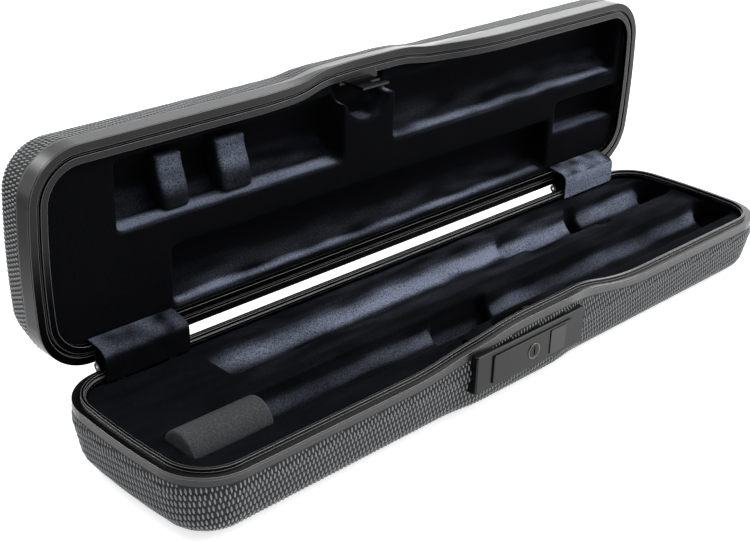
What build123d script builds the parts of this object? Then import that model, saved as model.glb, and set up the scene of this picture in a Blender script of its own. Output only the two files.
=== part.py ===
"""Hard flute case: two moulded trays, velvet liners, two covered hinges and a sliding latch.

Frame: X along the case, Y towards the hinges, Z up, origin under the middle of the base.
Sizes are in millimetres. The lid's pieces are built closed and swung open for export.
"""
import os

from build123d import *

# Case body
case_length = 420.0
case_width = 102.4
base_height = 33.4
lid_height = 35.4
corner_radius = 25.5
end_bow = 3.3
wall = 2.2
straight_band = 9.5
draft = 11.0
edge_round = 13.5
parting_gap = 0.1

# Wave of the parting line along the front
wave_rise = 9.3
wave_crest = 10.0
wave_foot = 90.0

# Swell of the front wall behind the latch
latch_x = -12.0
swell = 2.2
swell_flat = 24.0
swell_foot = 52.0

# Closing frames
flange = 1.4
tongue_height = 1.6
tongue_width = 1.4
tongue_inset = 3.9
tongue_play = 0.2
frame_width = 6.0
lid_frame_width = 8.6
skirt_depth = 8.0
skirt_width = 1.6
glue_gap = 0.05

# Hinges
hinge_setback = 48.0
hinge_width = 42.0
hinge_offset = 3.0
leaf = 1.2
leaf_leg = 11.0
barrel = 2.2
barrel_play = 0.15
centre_knuckle = 14.0
knuckle_gap = 0.2
pin_radius = 0.9
pin_play = 0.05
heel_reach = 4.2
open_angle = 90.0
rivet_radius = 1.2
rivet_play = 0.05
rivet_head = 2.2
rivet_head_height = 0.6
rivet_spacing = 28.0

# Latch
plate_width = 80.0
plate_height = 20.0
plate_drop = 8.1
plate_proud = 2.4
panel_width = 58.0
panel_height = 14.6
panel_proud = 0.9
slide_gap = 0.05
slide_travel = 5.0
neck_radius = 5.0
neck_play = 0.4
core_radius = 3.4
core_play = 0.05
bezel_radius = 4.2
badge_width = 11.5
badge_height = 12.8
badge_x = 18.0
badge_proud = 0.5
screw_spacing = 52.0
back_plate_width = 60.0
back_plate_height = 14.4
hook_width = 23.0
hook_height = 14.0
striker_depth = 12.0
striker_foot = 7.3

# Liners
soft_gap = 0.3
lid_hollow = 5.0
liner_inset = 4.2
liner_drop = 3.3
lid_liner_drop = 4.0
lip_back = 36.0
pocket_wall = 1.8
pad_spans = ((-137.0, -121.5), (-103.0, -84.5))
pad_round = 3.0
foam_radius = 10.0
foam_y = -16.0
foam_z = 26.3
foam_length = 43.5
foam_seat = 18.0
flap_width = 46.0

# Derived positions
half_width = case_width / 2
end_x = case_length / 2
hinge_x = end_x - hinge_setback
plate_z = base_height - plate_drop
front_y = -half_width - swell
hinge_y = half_width + hinge_offset
hinge_z = base_height + 0.05
crest_z = base_height + wave_rise
frame_face = front_y - plate_proud
inner_wall = front_y + wall
carriage_y = inner_wall + 2.8
clip_y = carriage_y + 1.8
neck_end = clip_y + 1.4
cam_y = neck_end + 0.4
core_face = frame_face - slide_gap - panel_proud - 0.4
striker_x = latch_x - 1.0
tab_y = front_y + striker_depth
tooth_x = striker_x + 9.6
tooth_z = base_height + 3.0
tooth_height = 2.8
striker_rivet_y = front_y + striker_foot


def s_curve(x_low, x_high, low, high):
    """Two equal tangent arcs that carry a line from one level to another."""
    middle = ((x_low + x_high) / 2, (low + high) / 2)
    first = TangentArc((x_low, low), middle, tangent=(1, 0))
    TangentArc(middle, (x_high, high), tangent=first % 1)


def case_outline():
    """Plan of the case, rounded at the corners and bowed at the ends."""
    corner_x = end_x + 0.8 - end_bow
    with BuildSketch() as outline:
        with BuildLine():
            Line((-corner_x, half_width), (corner_x, half_width))
            ThreePointArc((corner_x, half_width), (corner_x + end_bow, 0), (corner_x, -half_width))
            ThreePointArc((-corner_x, half_width), (-corner_x - end_bow, 0), (-corner_x, -half_width))
            Line((-corner_x, -half_width), (latch_x - swell_foot, -half_width))
            s_curve(latch_x - swell_foot, latch_x - swell_flat, -half_width, front_y)
            Line((latch_x - swell_flat, front_y), (latch_x + swell_flat, front_y))
            s_curve(latch_x + swell_flat, latch_x + swell_foot, front_y, -half_width)
            Line((latch_x + swell_foot, -half_width), (corner_x, -half_width))
        make_face()
        corners = outline.vertices().filter_by(lambda v: abs(v.X) > corner_x - 1)
        fillet(corners, corner_radius)
    return outline.sketch


OUTLINE = case_outline()


def outline_at(inset):
    """The plan drawn in by a margin."""
    with BuildSketch() as inner:
        add(OUTLINE)
        if inset > 0:
            offset(amount=-inset, mode=Mode.REPLACE)
    return inner.sketch


def tray_form(height, inset, floor, rise=0.0):
    """Solid tray: straight band at the rim, drafted wall below and a rounded lower edge."""
    bend = height - straight_band
    with BuildPart() as form:
        with BuildSketch(Plane.XY.offset(bend)):
            add(outline_at(inset))
        extrude(amount=-(bend - floor), taper=draft)
        with BuildSketch(Plane.XY.offset(bend)):
            add(outline_at(inset))
        extrude(amount=straight_band + rise)
        fillet(form.faces().sort_by(Axis.Z)[0].edges(), edge_round - floor)
    return form.part


def lid_form(inset, floor):
    """The same tray turned over onto the parting plane."""
    tray = tray_form(lid_height, inset, floor)
    return mirror(tray, about=Plane.XY.offset((base_height + lid_height) / 2))


def parting_side(shift, limit, seam=0.0):
    """Everything between the waved parting surface, moved by shift, and a flat level."""
    level = base_height + shift
    half = case_length
    with BuildPart() as side:
        with BuildSketch(Plane.XZ.offset(seam)):
            with BuildLine():
                Line((-half, level), (-wave_foot, level))
                s_curve(-wave_foot, -wave_crest, level, level + wave_rise)
                Line((-wave_crest, level + wave_rise), (wave_crest, level + wave_rise))
                s_curve(wave_crest, wave_foot, level + wave_rise, level)
                Polyline((wave_foot, level), (half, level), (half, limit), (-half, limit), (-half, level))
            make_face()
        extrude(amount=case_width)
        with BuildSketch(Plane.XZ.offset(seam)):
            with Locations((0, (level + limit) / 2)):
                Rectangle(2 * half, abs(limit - level))
        extrude(amount=-2 * case_width)
    return side.part


def ring_band(outer, inner, low, high):
    """Ring that follows the plan between two margins and the parting line between two levels."""
    with BuildPart() as ring:
        with BuildSketch():
            add(outline_at(outer))
            add(outline_at(inner), mode=Mode.SUBTRACT)
        extrude(amount=base_height + lid_height)
        add(parting_side(low, -1), mode=Mode.SUBTRACT)
        add(parting_side(high, base_height + lid_height + 1), mode=Mode.SUBTRACT)
    return ring.part


def trough(x_from, x_to, y, z, radius, up=1):
    """Round-bottomed channel along X, open upwards (or downwards when up is -1)."""
    reach = 60.0
    with BuildPart() as cut:
        with BuildSketch(Plane.YZ.offset(x_from)):
            with Locations((y, z)):
                Circle(radius)
            with Locations((y, z + up * reach / 2)):
                Rectangle(2 * radius, reach)
        extrude(amount=x_to - x_from)
    return cut.part


def block(x_range, y_range, z_range):
    """Plain box between three pairs of limits."""
    with BuildPart() as box:
        with Locations([Vector(*(sum(pair) / 2 for pair in (x_range, y_range, z_range)))]):
            Box(*(abs(pair[1] - pair[0]) for pair in (x_range, y_range, z_range)))
    return box.part


def rod(start, direction, radius, length):
    """Round bar from a point along a direction."""
    with BuildPart() as bar:
        with BuildSketch(Plane(origin=start, z_dir=direction)):
            Circle(radius)
        extrude(amount=length)
    return bar.part


def rivet_points(side):
    """Centres of the hinge rivets at the inner face of the leaf; side is -1 base, 1 lid."""
    z = base_height + side * (skirt_depth + flange) / 2
    y = half_width - wall - glue_gap - skirt_width
    return [(h + s * rivet_spacing / 2, y, z) for h in (-hinge_x, hinge_x) for s in (-1, 1)]


def hinge_notch(side, depth):
    """Gap in a closing frame that lets a hinge leaf pass; side is -1 base, 1 lid."""
    level = base_height
    half = hinge_width / 2 + 0.3
    inside = half_width - wall - glue_gap - skirt_width
    with BuildPart() as notch:
        for h in (-hinge_x, hinge_x):
            add(block((h - half, h + half), (half_width - 10, half_width + 1), (level - depth, level + depth)))
            top = level + side * (flange + parting_gap + 1.8)
            add(block((h - half, h + half), (half_width - 10, inside), (level - 1.0, top)))
    return notch.part


def build_base_shell():
    with BuildPart() as base_shell:
        add(tray_form(base_height, 0, 0, wave_rise))
        add(tray_form(base_height, wall, wall, wave_rise + 1), mode=Mode.SUBTRACT)
        add(parting_side(-flange, crest_z + 5), mode=Mode.SUBTRACT)
        with BuildSketch(Plane.XZ.offset(-front_y - wall - 1)):
            with Locations((latch_x - slide_travel / 2, plate_z)):
                SlotOverall(2 * (neck_radius + neck_play) + slide_travel, 2 * (neck_radius + neck_play))
        extrude(amount=wall + 2, mode=Mode.SUBTRACT)
        for s in (-1, 1):
            hole = rod((latch_x + s * screw_spacing / 2, inner_wall + 1, plate_z), (0, -1, 0), 1.35, wall + 2)
            add(hole, mode=Mode.SUBTRACT)
        for x, y, z in rivet_points(-1):
            add(rod((x, y, z), (0, 1, 0), rivet_radius + rivet_play, 8), mode=Mode.SUBTRACT)
    return base_shell.part


def build_base_frame():
    skirt_out = wall + glue_gap
    with BuildPart() as base_frame:
        add(ring_band(0, frame_width, -flange, 0))
        add(ring_band(tongue_inset, tongue_inset + tongue_width, 0, tongue_height))
        add(ring_band(skirt_out, skirt_out + skirt_width, -skirt_depth, -flange))
        add(hinge_notch(-1, flange), mode=Mode.SUBTRACT)
        for h in (-hinge_x, hinge_x):
            half = hinge_width / 2 + 0.3
            add(block((h - half, h + half), (half_width - 10, half_width - 3),
                      (base_height - 0.5, base_height + 3)), mode=Mode.SUBTRACT)
        for x, y, z in rivet_points(-1):
            add(rod((x, y - 1, z), (0, 1, 0), rivet_radius + rivet_play, 8), mode=Mode.SUBTRACT)
    return base_frame.part


def build_lid_shell():
    with BuildPart() as lid_shell:
        add(lid_form(0, 0))
        add(lid_form(wall, wall), mode=Mode.SUBTRACT)
        add(parting_side(flange + parting_gap, -5), mode=Mode.SUBTRACT)
        for x, y, z in rivet_points(1):
            add(rod((x, y, z), (0, 1, 0), rivet_radius + rivet_play, 8), mode=Mode.SUBTRACT)
    return lid_shell.part


def build_lid_frame():
    skirt_out = wall + glue_gap
    low = parting_gap
    seat = flange + parting_gap
    groove = tongue_inset - tongue_play
    groove_width = tongue_width + 2 * tongue_play
    with BuildPart() as skirt:
        add(ring_band(skirt_out, lid_frame_width, seat, seat + 1.6))
        add(ring_band(skirt_out, skirt_out + skirt_width, seat + 1.6, skirt_depth))
    drafted_skirt = skirt.part & lid_form(skirt_out, wall)
    with BuildPart() as lid_frame:
        add(drafted_skirt)
        add(ring_band(0, lid_frame_width, low, seat))
        add(ring_band(groove, groove + groove_width, 0, tongue_height + parting_gap + 0.2), mode=Mode.SUBTRACT)
        add(hinge_notch(1, flange + parting_gap), mode=Mode.SUBTRACT)
        for x, y, z in rivet_points(1):
            add(rod((x, y - 1, z), (0, 1, 0), rivet_radius + rivet_play, 8), mode=Mode.SUBTRACT)
        for s in (-1, 1):
            add(rod((striker_x + s * 10, striker_rivet_y, crest_z), (0, 0, 1), 1.05, 4), mode=Mode.SUBTRACT)
    return lid_frame.part


def end_pocket(x_from, y_range, floor):
    """Pocket at the right end that keeps a wall of foam along the liner's own edge."""
    with BuildPart() as inside:
        with BuildSketch():
            add(outline_at(liner_inset + pocket_wall))
        extrude(amount=base_height + lid_height)
    return inside.part & block((x_from, case_length), y_range, (floor, base_height + lid_height))


def build_base_liner():
    rim = base_height - liner_drop
    with BuildPart() as base_liner:
        add(tray_form(base_height, liner_inset, wall + soft_gap, wave_rise))
        add(parting_side(-liner_drop, crest_z + 5, seam=lip_back), mode=Mode.SUBTRACT)
        # Rear row: long channel, narrower middle, pocket, end channel, end pocket
        add(trough(-137, 68, 24.5, 29.5, 10.5), mode=Mode.SUBTRACT)
        add(trough(68, 126, 22, 28, 10.5), mode=Mode.SUBTRACT)
        add(block((126, 136), (8, 36), (8, 60)), mode=Mode.SUBTRACT)
        add(trough(136, end_x - 10, 23, 28, 11.5), mode=Mode.SUBTRACT)
        add(end_pocket(end_x - 13, (12, 31.5), 8), mode=Mode.SUBTRACT)
        # Front row: short channel, finger well, long channel, end pocket
        add(trough(foam_seat - end_x, -30, foam_y, foam_z + 1.2, foam_radius + 1.5), mode=Mode.SUBTRACT)
        add(trough(-30, 8, -20, 22, 16), mode=Mode.SUBTRACT)
        add(trough(8, end_x - 10, -20, 29, 12.5), mode=Mode.SUBTRACT)
        add(end_pocket(end_x - 13, (-31, -9), 9), mode=Mode.SUBTRACT)
        # Room for the latch and for the hinge leaves
        room = (front_y, front_y + 14.7)
        add(block((latch_x - 34, latch_x + 34), room, (plate_z - 10.3, plate_z + 10.7)), mode=Mode.SUBTRACT)
        add(block((latch_x - 13, latch_x + 16), room, (plate_z, base_height + lid_height)), mode=Mode.SUBTRACT)
        for h in (-hinge_x, hinge_x):
            half = hinge_width / 2 + 1
            add(block((h - half, h + half), (half_width - 6.4, half_width), (rim - 10, rim + 5)), mode=Mode.SUBTRACT)
    return base_liner.part


def build_spacer_foam():
    with BuildPart() as spacer_foam:
        with BuildSketch(Plane.YZ.offset(foam_seat + soft_gap - end_x)):
            with Locations((foam_y, foam_z)):
                Circle(foam_radius)
        extrude(amount=foam_length)
        chamfer(spacer_foam.edges().filter_by(GeomType.CIRCLE), 0.4)
    return spacer_foam.part


def build_lid_liner():
    face = base_height + lid_liner_drop
    with BuildPart() as lid_liner:
        add(lid_form(liner_inset, wall + lid_hollow))
        add(parting_side(lid_liner_drop, -5, seam=lip_back - 2), mode=Mode.SUBTRACT)
        # Front row, left and right of the latch block
        add(trough(-165, -30, -21, face + 4, 17, up=-1), mode=Mode.SUBTRACT)
        add(trough(6, end_x - 14, -24, face + 2, 16, up=-1), mode=Mode.SUBTRACT)
        add(block((end_x - 68, end_x - 10), (2, 21.5), (0, face + 14)), mode=Mode.SUBTRACT)
        # Long rear channel
        add(trough(-136, 136, 26, face + 1, 15, up=-1), mode=Mode.SUBTRACT)
        # Bowl round the striker and room for the hinge leaves
        with BuildSketch(Plane.XY):
            with Locations((striker_x, tab_y + 3.4)):
                Circle(15)
            with Locations((striker_x, tab_y - 6.6)):
                Rectangle(34, 20)
        extrude(amount=crest_z + 9, mode=Mode.SUBTRACT)
        for h in (-hinge_x, hinge_x):
            half = hinge_width / 2 + 1
            add(block((h - half, h + half), (half_width - 6.4, half_width), (face - 5, face + 10)),
                mode=Mode.SUBTRACT)
    return lid_liner.part


def build_saddle_pads():
    """Two padded bars across the front recess of the lid, shaped to its round roof."""
    face = base_height + lid_liner_drop
    with BuildPart() as saddle_pads:
        for x_from, x_to in pad_spans:
            with BuildSketch(Plane.YZ.offset(x_from)):
                with Locations((-21, face + 4)):
                    Circle(17 - soft_gap)
                with Locations((-21, face - 16)):
                    Rectangle(40, 40, mode=Mode.SUBTRACT)
            extrude(amount=x_to - x_from)
        top = saddle_pads.faces().filter_by(Axis.Z).edges().filter_by(Axis.Y)
        fillet(top, pad_round)
    return saddle_pads.part


def build_base_leaf(x):
    level = base_height - flange
    inner = half_width - wall - glue_gap - skirt_width
    half = hinge_width / 2
    with BuildPart() as base_leaf:
        add(block((x - half, x + half), (inner - leaf, hinge_y), (level, level + leaf)))
        add(block((x - half, x + half), (inner - leaf, inner), (base_height - leaf_leg, level + leaf)))
        add(rod((x - half, hinge_y, hinge_z), (1, 0, 0), barrel, hinge_width))
        add(block((x - half, x + half), (hinge_y - 0.5, hinge_y + 0.8), (hinge_z - 5.5, hinge_z - 1)))
        reach = centre_knuckle / 2 + knuckle_gap
        add(rod((x - reach, hinge_y, hinge_z), (1, 0, 0), barrel + barrel_play, 2 * reach), mode=Mode.SUBTRACT)
        add(rod((x - half - 1, hinge_y, hinge_z), (1, 0, 0), pin_radius + pin_play, hinge_width + 2),
            mode=Mode.SUBTRACT)
        for px, py, pz in rivet_points(-1):
            add(rod((px, py - 4, pz), (0, 1, 0), rivet_radius + rivet_play, 8), mode=Mode.SUBTRACT)
    return base_leaf.part


def build_lid_leaf(x):
    level = base_height + flange + parting_gap
    inner = half_width - wall - glue_gap - skirt_width
    half = hinge_width / 2
    reach = centre_knuckle / 2
    with BuildPart() as lid_leaf:
        add(block((x - half, x + half), (inner - leaf, hinge_y), (level - leaf, level)))
        add(block((x - half, x + half), (inner - leaf, inner), (level - leaf, base_height + leaf_leg)))
        for s in (-1, 1):
            side = sorted((x + s * (reach + knuckle_gap / 2 - 0.1), x + s * (half + 1)))
            add(rod((side[0], hinge_y, hinge_z), (1, 0, 0), barrel + barrel_play, side[1] - side[0]),
                mode=Mode.SUBTRACT)
        add(rod((x - reach, hinge_y, hinge_z), (1, 0, 0), barrel, centre_knuckle))
        add(block((x - reach, x + reach), (hinge_y, hinge_y + heel_reach), (hinge_z + 0.85, hinge_z + 2.05)))
        add(rod((x - half - 1, hinge_y, hinge_z), (1, 0, 0), pin_radius + pin_play, hinge_width + 2),
            mode=Mode.SUBTRACT)
        for px, py, pz in rivet_points(1):
            add(rod((px, py - 4, pz), (0, 1, 0), rivet_radius + rivet_play, 8), mode=Mode.SUBTRACT)
    return lid_leaf.part


def build_pin(x):
    with BuildPart() as pin:
        add(rod((x - hinge_width / 2, hinge_y, hinge_z), (1, 0, 0), pin_radius, hinge_width))
        chamfer(pin.edges().filter_by(GeomType.CIRCLE), 0.2)
    return pin.part


def build_rivets(side):
    """Four rivets that clamp the leaf and frame to the rear wall of one tray."""
    grip = leaf + skirt_width + glue_gap + wall
    with BuildPart() as rivets:
        for x, y, z in rivet_points(side):
            start = y - leaf
            add(rod((x, start - 0.2, z), (0, 1, 0), rivet_radius, grip + 0.4))
            add(rod((x, start - rivet_head_height, z), (0, 1, 0), rivet_head, rivet_head_height))
            add(rod((x, start + grip, z), (0, 1, 0), rivet_head, rivet_head_height))
    return rivets.part


def build_flap(x):
    """Velvet strip that covers one hinge, from the base liner up and over the lid's rear rim."""
    near = half_width - 7.5
    far = half_width + 6.5
    low = base_height - 2.95
    rim = base_height + 13.6
    with BuildPart() as flap:
        with BuildSketch(Plane.YZ.offset(x - flap_width / 2)) as profile:
            with BuildLine():
                Polyline((near, low), (near, rim - 2.6), (near + 3.3, rim - 1.4), (far, rim), (far, rim - 1),
                         (near + 3.5, rim - 2.4), (near + 1, rim - 3.4), (near + 1, low), close=True)
            make_face()
            bends = profile.vertices().filter_by(lambda v: v.Y < near + 4 and v.Z > low + 1)
            fillet(bends, 0.8)
        extrude(amount=flap_width)
    return flap.part


def build_latch_plate():
    with BuildPart() as latch_plate:
        with BuildSketch(Plane.XZ.offset(-frame_face)):
            with Locations((latch_x, plate_z)):
                RectangleRounded(plate_width, plate_height, 1.0)
        extrude(amount=-8)
        chamfer(latch_plate.faces().sort_by(Axis.Y)[0].edges(), 0.6)
        add(tray_form(base_height, 0, 0, wave_rise), mode=Mode.SUBTRACT)
        with BuildSketch(Plane.XZ.offset(-frame_face)):
            with Locations((latch_x - slide_travel / 2, plate_z)):
                SlotOverall(2 * (neck_radius + neck_play) + slide_travel, 2 * (neck_radius + neck_play))
        extrude(amount=-8, mode=Mode.SUBTRACT)
        for s in (-1, 1):
            hole = rod((latch_x + s * screw_spacing / 2, front_y + 1, plate_z), (0, -1, 0), 1.3, 3.0)
            add(hole, mode=Mode.SUBTRACT)
    return latch_plate.part


def build_back_plate():
    with BuildPart() as back_plate:
        with BuildSketch(Plane.XZ.offset(-inner_wall)):
            with Locations((latch_x, plate_z - 1.1)):
                RectangleRounded(back_plate_width, back_plate_height, 1.5)
            with Locations((latch_x - slide_travel / 2, plate_z)):
                SlotOverall(2 * (neck_radius + neck_play) + slide_travel, 2 * (neck_radius + neck_play),
                            mode=Mode.SUBTRACT)
            with Locations((latch_x - screw_spacing / 2, plate_z), (latch_x + screw_spacing / 2, plate_z)):
                Circle(1.35, mode=Mode.SUBTRACT)
        extrude(amount=-(carriage_y - inner_wall - 0.1))
    return back_plate.part & tray_form(base_height, wall, wall, wave_rise)


def build_latch_screws():
    with BuildPart() as latch_screws:
        for s in (-1, 1):
            x = latch_x + s * screw_spacing / 2
            seat = carriage_y - 0.1
            add(rod((x, seat, plate_z), (0, -1, 0), 1.25, seat - front_y + 1.8))
            add(rod((x, seat + 1.2, plate_z), (0, -1, 0), 2.4, 1.2))
            slot = (plate_z - 0.3, plate_z + 0.3)
            add(block((x - 1.8, x + 1.8), (seat + 0.7, seat + 2), slot), mode=Mode.SUBTRACT)
    return latch_screws.part


def build_slide_button():
    """Raised panel with the round neck that carries the lock through the wall."""
    back = frame_face - slide_gap
    bore_from = back - panel_proud - 1
    with BuildPart() as slide_button:
        with BuildSketch(Plane.XZ.offset(-back)):
            with Locations((latch_x, plate_z)):
                RectangleRounded(panel_width, panel_height, 0.8)
        extrude(amount=panel_proud)
        chamfer(slide_button.faces().sort_by(Axis.Y)[0].edges(), 0.3)
        add(rod((latch_x, back - 0.4, plate_z), (0, 1, 0), neck_radius, neck_end - back + 0.4))
        with BuildSketch(Plane.XZ.offset(-clip_y + 0.05)):
            with Locations((latch_x, plate_z)):
                Circle(neck_radius + 1)
                Circle(neck_radius - 0.6, mode=Mode.SUBTRACT)
        extrude(amount=-1.1, mode=Mode.SUBTRACT)
        add(rod((latch_x, bore_from, plate_z), (0, 1, 0), core_radius + core_play, neck_end - bore_from + 1),
            mode=Mode.SUBTRACT)
        add(rod((latch_x, bore_from, plate_z), (0, 1, 0), bezel_radius + core_play, panel_proud + 0.5),
            mode=Mode.SUBTRACT)
    return slide_button.part


def build_slide_hook():
    """Inner carriage on the neck, with the tooth that takes hold of the striker."""
    left = tooth_x
    top = tooth_z + tooth_height
    with BuildPart() as slide_hook:
        with BuildSketch(Plane.XZ.offset(-carriage_y)):
            with Locations((latch_x + 1, plate_z)):
                RectangleRounded(hook_width, hook_height, 1.5)
            with Locations((latch_x, plate_z)):
                Circle(neck_radius + core_play, mode=Mode.SUBTRACT)
        extrude(amount=-1.6)
        add(block((left, left + 4), (carriage_y, carriage_y + 1.6), (plate_z + 2.7, top)))
        add(block((left, left + 4), (carriage_y, tab_y + 1.1), (tooth_z, top)))
    return slide_hook.part


def build_neck_clip():
    with BuildPart() as neck_clip:
        with BuildSketch(Plane.XZ.offset(-clip_y)):
            with Locations((latch_x, plate_z)):
                Circle(neck_radius + 1.4)
                Circle(neck_radius - 0.55, mode=Mode.SUBTRACT)
            with Locations((latch_x, plate_z - 5)):
                Rectangle(5, 10, mode=Mode.SUBTRACT)
        extrude(amount=-1.0)
    return neck_clip.part


def build_badge():
    with BuildPart() as badge:
        with BuildSketch(Plane.XZ.offset(-frame_face + slide_gap + panel_proud)):
            with Locations((latch_x + badge_x, plate_z)):
                RectangleRounded(badge_width, badge_height, 0.6)
        extrude(amount=badge_proud)
        chamfer(badge.faces().sort_by(Axis.Y)[0].edges(), 0.15)
    return badge.part


def build_bezel():
    seat = frame_face - slide_gap - 0.5
    with BuildPart() as bezel:
        with BuildSketch(Plane.XZ.offset(-seat)):
            with Locations((latch_x, plate_z)):
                Circle(bezel_radius)
                Circle(core_radius + core_play, mode=Mode.SUBTRACT)
        extrude(amount=0.8)
        chamfer(bezel.faces().sort_by(Axis.Y)[0].edges(), 0.15)
    return bezel.part


def build_lock_core():
    with BuildPart() as lock_core:
        add(rod((latch_x, core_face, plate_z), (0, 1, 0), core_radius, cam_y - core_face))
        add(block((latch_x - 0.5, latch_x + 0.5), (core_face - 1, core_face + 6), (plate_z - 2.2, plate_z + 2.2)),
            mode=Mode.SUBTRACT)
        add(rod((latch_x, cam_y - 2.2, plate_z), (0, 1, 0), 0.8, 6), mode=Mode.SUBTRACT)
    return lock_core.part


def build_lock_cam():
    with BuildPart() as lock_cam:
        with BuildSketch(Plane.XZ.offset(-cam_y)):
            with Locations((latch_x, plate_z)):
                Circle(3.4)
            with Locations((latch_x, plate_z - 4.5)):
                Rectangle(4, 9)
            with Locations((latch_x, plate_z)):
                Circle(0.85, mode=Mode.SUBTRACT)
        extrude(amount=-1.2)
    return lock_cam.part


def build_cam_screw():
    with BuildPart() as cam_screw:
        head = cam_y + 1.2
        add(rod((latch_x, cam_y - 2, plate_z), (0, 1, 0), 0.75, 3.4))
        add(rod((latch_x, head, plate_z), (0, 1, 0), 1.8, 0.9))
        add(block((latch_x - 1.4, latch_x + 1.4), (head + 0.5, head + 2), (plate_z - 0.25, plate_z + 0.25)),
            mode=Mode.SUBTRACT)
    return cam_screw.part


def build_striker():
    """Bent strip: a foot on the lid's frame and a tab with a side notch for the tooth."""
    seat = crest_z + flange + parting_gap + 1.6
    with BuildPart() as striker:
        add(block((striker_x - 13, striker_x + 13), (striker_rivet_y - 3.1, tab_y + 0.6), (seat, seat + leaf)))
        add(block((striker_x - 9, striker_x + 9), (tab_y - 0.6, tab_y + 0.6), (base_height - 0.3, seat + leaf)))
        notch = (tooth_z - 0.4, tooth_z + tooth_height + 0.6)
        add(block((striker_x + 2, striker_x + 10), (tab_y - 2, tab_y + 2), notch), mode=Mode.SUBTRACT)
        for s in (-1, 1):
            add(rod((striker_x + s * 10, striker_rivet_y, seat - 1), (0, 0, 1), 1.05, 4), mode=Mode.SUBTRACT)
    return striker.part


def build_striker_rivets():
    seat = crest_z + flange + parting_gap + 1.6
    with BuildPart() as striker_rivets:
        for s in (-1, 1):
            add(rod((striker_x + s * 10, striker_rivet_y, crest_z + 0.3), (0, 0, 1), 1.0, seat + leaf - crest_z))
            add(rod((striker_x + s * 10, striker_rivet_y, seat + leaf), (0, 0, 1), 1.9, 0.7))
    return striker_rivets.part


def main():
    os.makedirs("parts", exist_ok=True)
    open_pose = Pos(0, hinge_y, hinge_z) * Rot(-open_angle, 0, 0) * Pos(0, -hinge_y, -hinge_z)
    base_parts = {
        "base_shell": build_base_shell(),
        "base_frame": build_base_frame(),
        "base_liner": build_base_liner(),
        "spacer_foam": build_spacer_foam(),
        "left_base_leaf": build_base_leaf(-hinge_x),
        "right_base_leaf": build_base_leaf(hinge_x),
        "left_hinge_pin": build_pin(-hinge_x),
        "right_hinge_pin": build_pin(hinge_x),
        "base_rivets": build_rivets(-1),
        "left_hinge_flap": build_flap(-hinge_x),
        "right_hinge_flap": build_flap(hinge_x),
        "latch_plate": build_latch_plate(),
        "latch_back_plate": build_back_plate(),
        "latch_screws": build_latch_screws(),
        "slide_button": build_slide_button(),
        "slide_hook": build_slide_hook(),
        "neck_clip": build_neck_clip(),
        "badge_plate": build_badge(),
        "lock_bezel": build_bezel(),
        "lock_core": build_lock_core(),
        "lock_cam": build_lock_cam(),
        "cam_screw": build_cam_screw(),
    }
    lid_parts = {
        "lid_shell": build_lid_shell(),
        "lid_frame": build_lid_frame(),
        "lid_liner": build_lid_liner(),
        "saddle_pads": build_saddle_pads(),
        "left_lid_leaf": build_lid_leaf(-hinge_x),
        "right_lid_leaf": build_lid_leaf(hinge_x),
        "lid_rivets": build_rivets(1),
        "striker": build_striker(),
        "striker_rivets": build_striker_rivets(),
    }
    nodes = dict(base_parts)
    for name, closed in lid_parts.items():
        nodes[name] = closed.moved(open_pose)
    for name, solid in nodes.items():
        solid.label = name
        export_step(solid, f"parts/{name}.step")
        print(name, round(solid.volume / 1000, 2), "cm3", len(solid.solids()), "solids")


if __name__ == "__main__":
    main()
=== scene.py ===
"""Open flute case: moulded trays with a raised relief, velvet liners, covered hinges, key latch.

Everything is in metres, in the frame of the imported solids. Lengths in the classes are given in
millimetres, as on the drawing, and turned into metres where a mesh is made.
"""

import logging
import math
from dataclasses import dataclass, field
from enum import Enum

import bmesh
import bpy
import numpy as np
from mathutils import Matrix, Vector, noise


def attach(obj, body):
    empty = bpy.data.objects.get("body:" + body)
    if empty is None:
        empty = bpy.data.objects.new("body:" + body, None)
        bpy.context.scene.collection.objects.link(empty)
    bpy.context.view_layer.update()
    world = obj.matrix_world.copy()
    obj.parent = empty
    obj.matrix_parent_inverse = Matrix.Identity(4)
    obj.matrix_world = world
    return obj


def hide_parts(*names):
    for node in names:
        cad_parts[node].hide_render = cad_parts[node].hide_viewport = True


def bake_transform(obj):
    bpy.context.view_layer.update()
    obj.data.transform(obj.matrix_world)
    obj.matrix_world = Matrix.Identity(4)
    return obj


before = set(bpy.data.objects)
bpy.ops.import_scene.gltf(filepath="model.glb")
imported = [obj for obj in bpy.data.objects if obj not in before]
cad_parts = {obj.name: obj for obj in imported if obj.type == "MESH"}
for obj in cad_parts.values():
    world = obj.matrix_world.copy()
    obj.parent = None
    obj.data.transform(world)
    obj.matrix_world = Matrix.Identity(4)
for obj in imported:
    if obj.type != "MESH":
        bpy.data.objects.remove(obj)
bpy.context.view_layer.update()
MM = 0.001
MERGE_MM = 0.002
PHOTO_WIDTH = 750
SENSOR_WIDTH = 36.0
# Span that the factor of a noise texture mostly fills
NOISE_LOW = 0.3
NOISE_HIGH = 0.7
MATH = "ShaderNodeMath"
VECTOR_MATH = "ShaderNodeVectorMath"
MAP_RANGE = "ShaderNodeMapRange"
SPLIT = "ShaderNodeSeparateXYZ"
log = logging.getLogger("flute_case")


class Side(Enum):
    """The two halves of the case."""

    BASE = "base"
    LID = "lid"


def linear(code: str) -> tuple[float, float, float, float]:
    """Turns an sRGB hex colour into linear values.

    Args:
        code: six hex digits, with or without a leading hash.

    Returns:
        Red, green, blue and alpha for a shader socket.
    """
    code = code.lstrip("#")
    parts = [int(code[i:i + 2], 16) / 255 for i in (0, 2, 4)]
    lin = [c / 12.92 if c <= 0.04045 else ((c + 0.055) / 1.055) ** 2.4 for c in parts]
    return (lin[0], lin[1], lin[2], 1.0)


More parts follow.
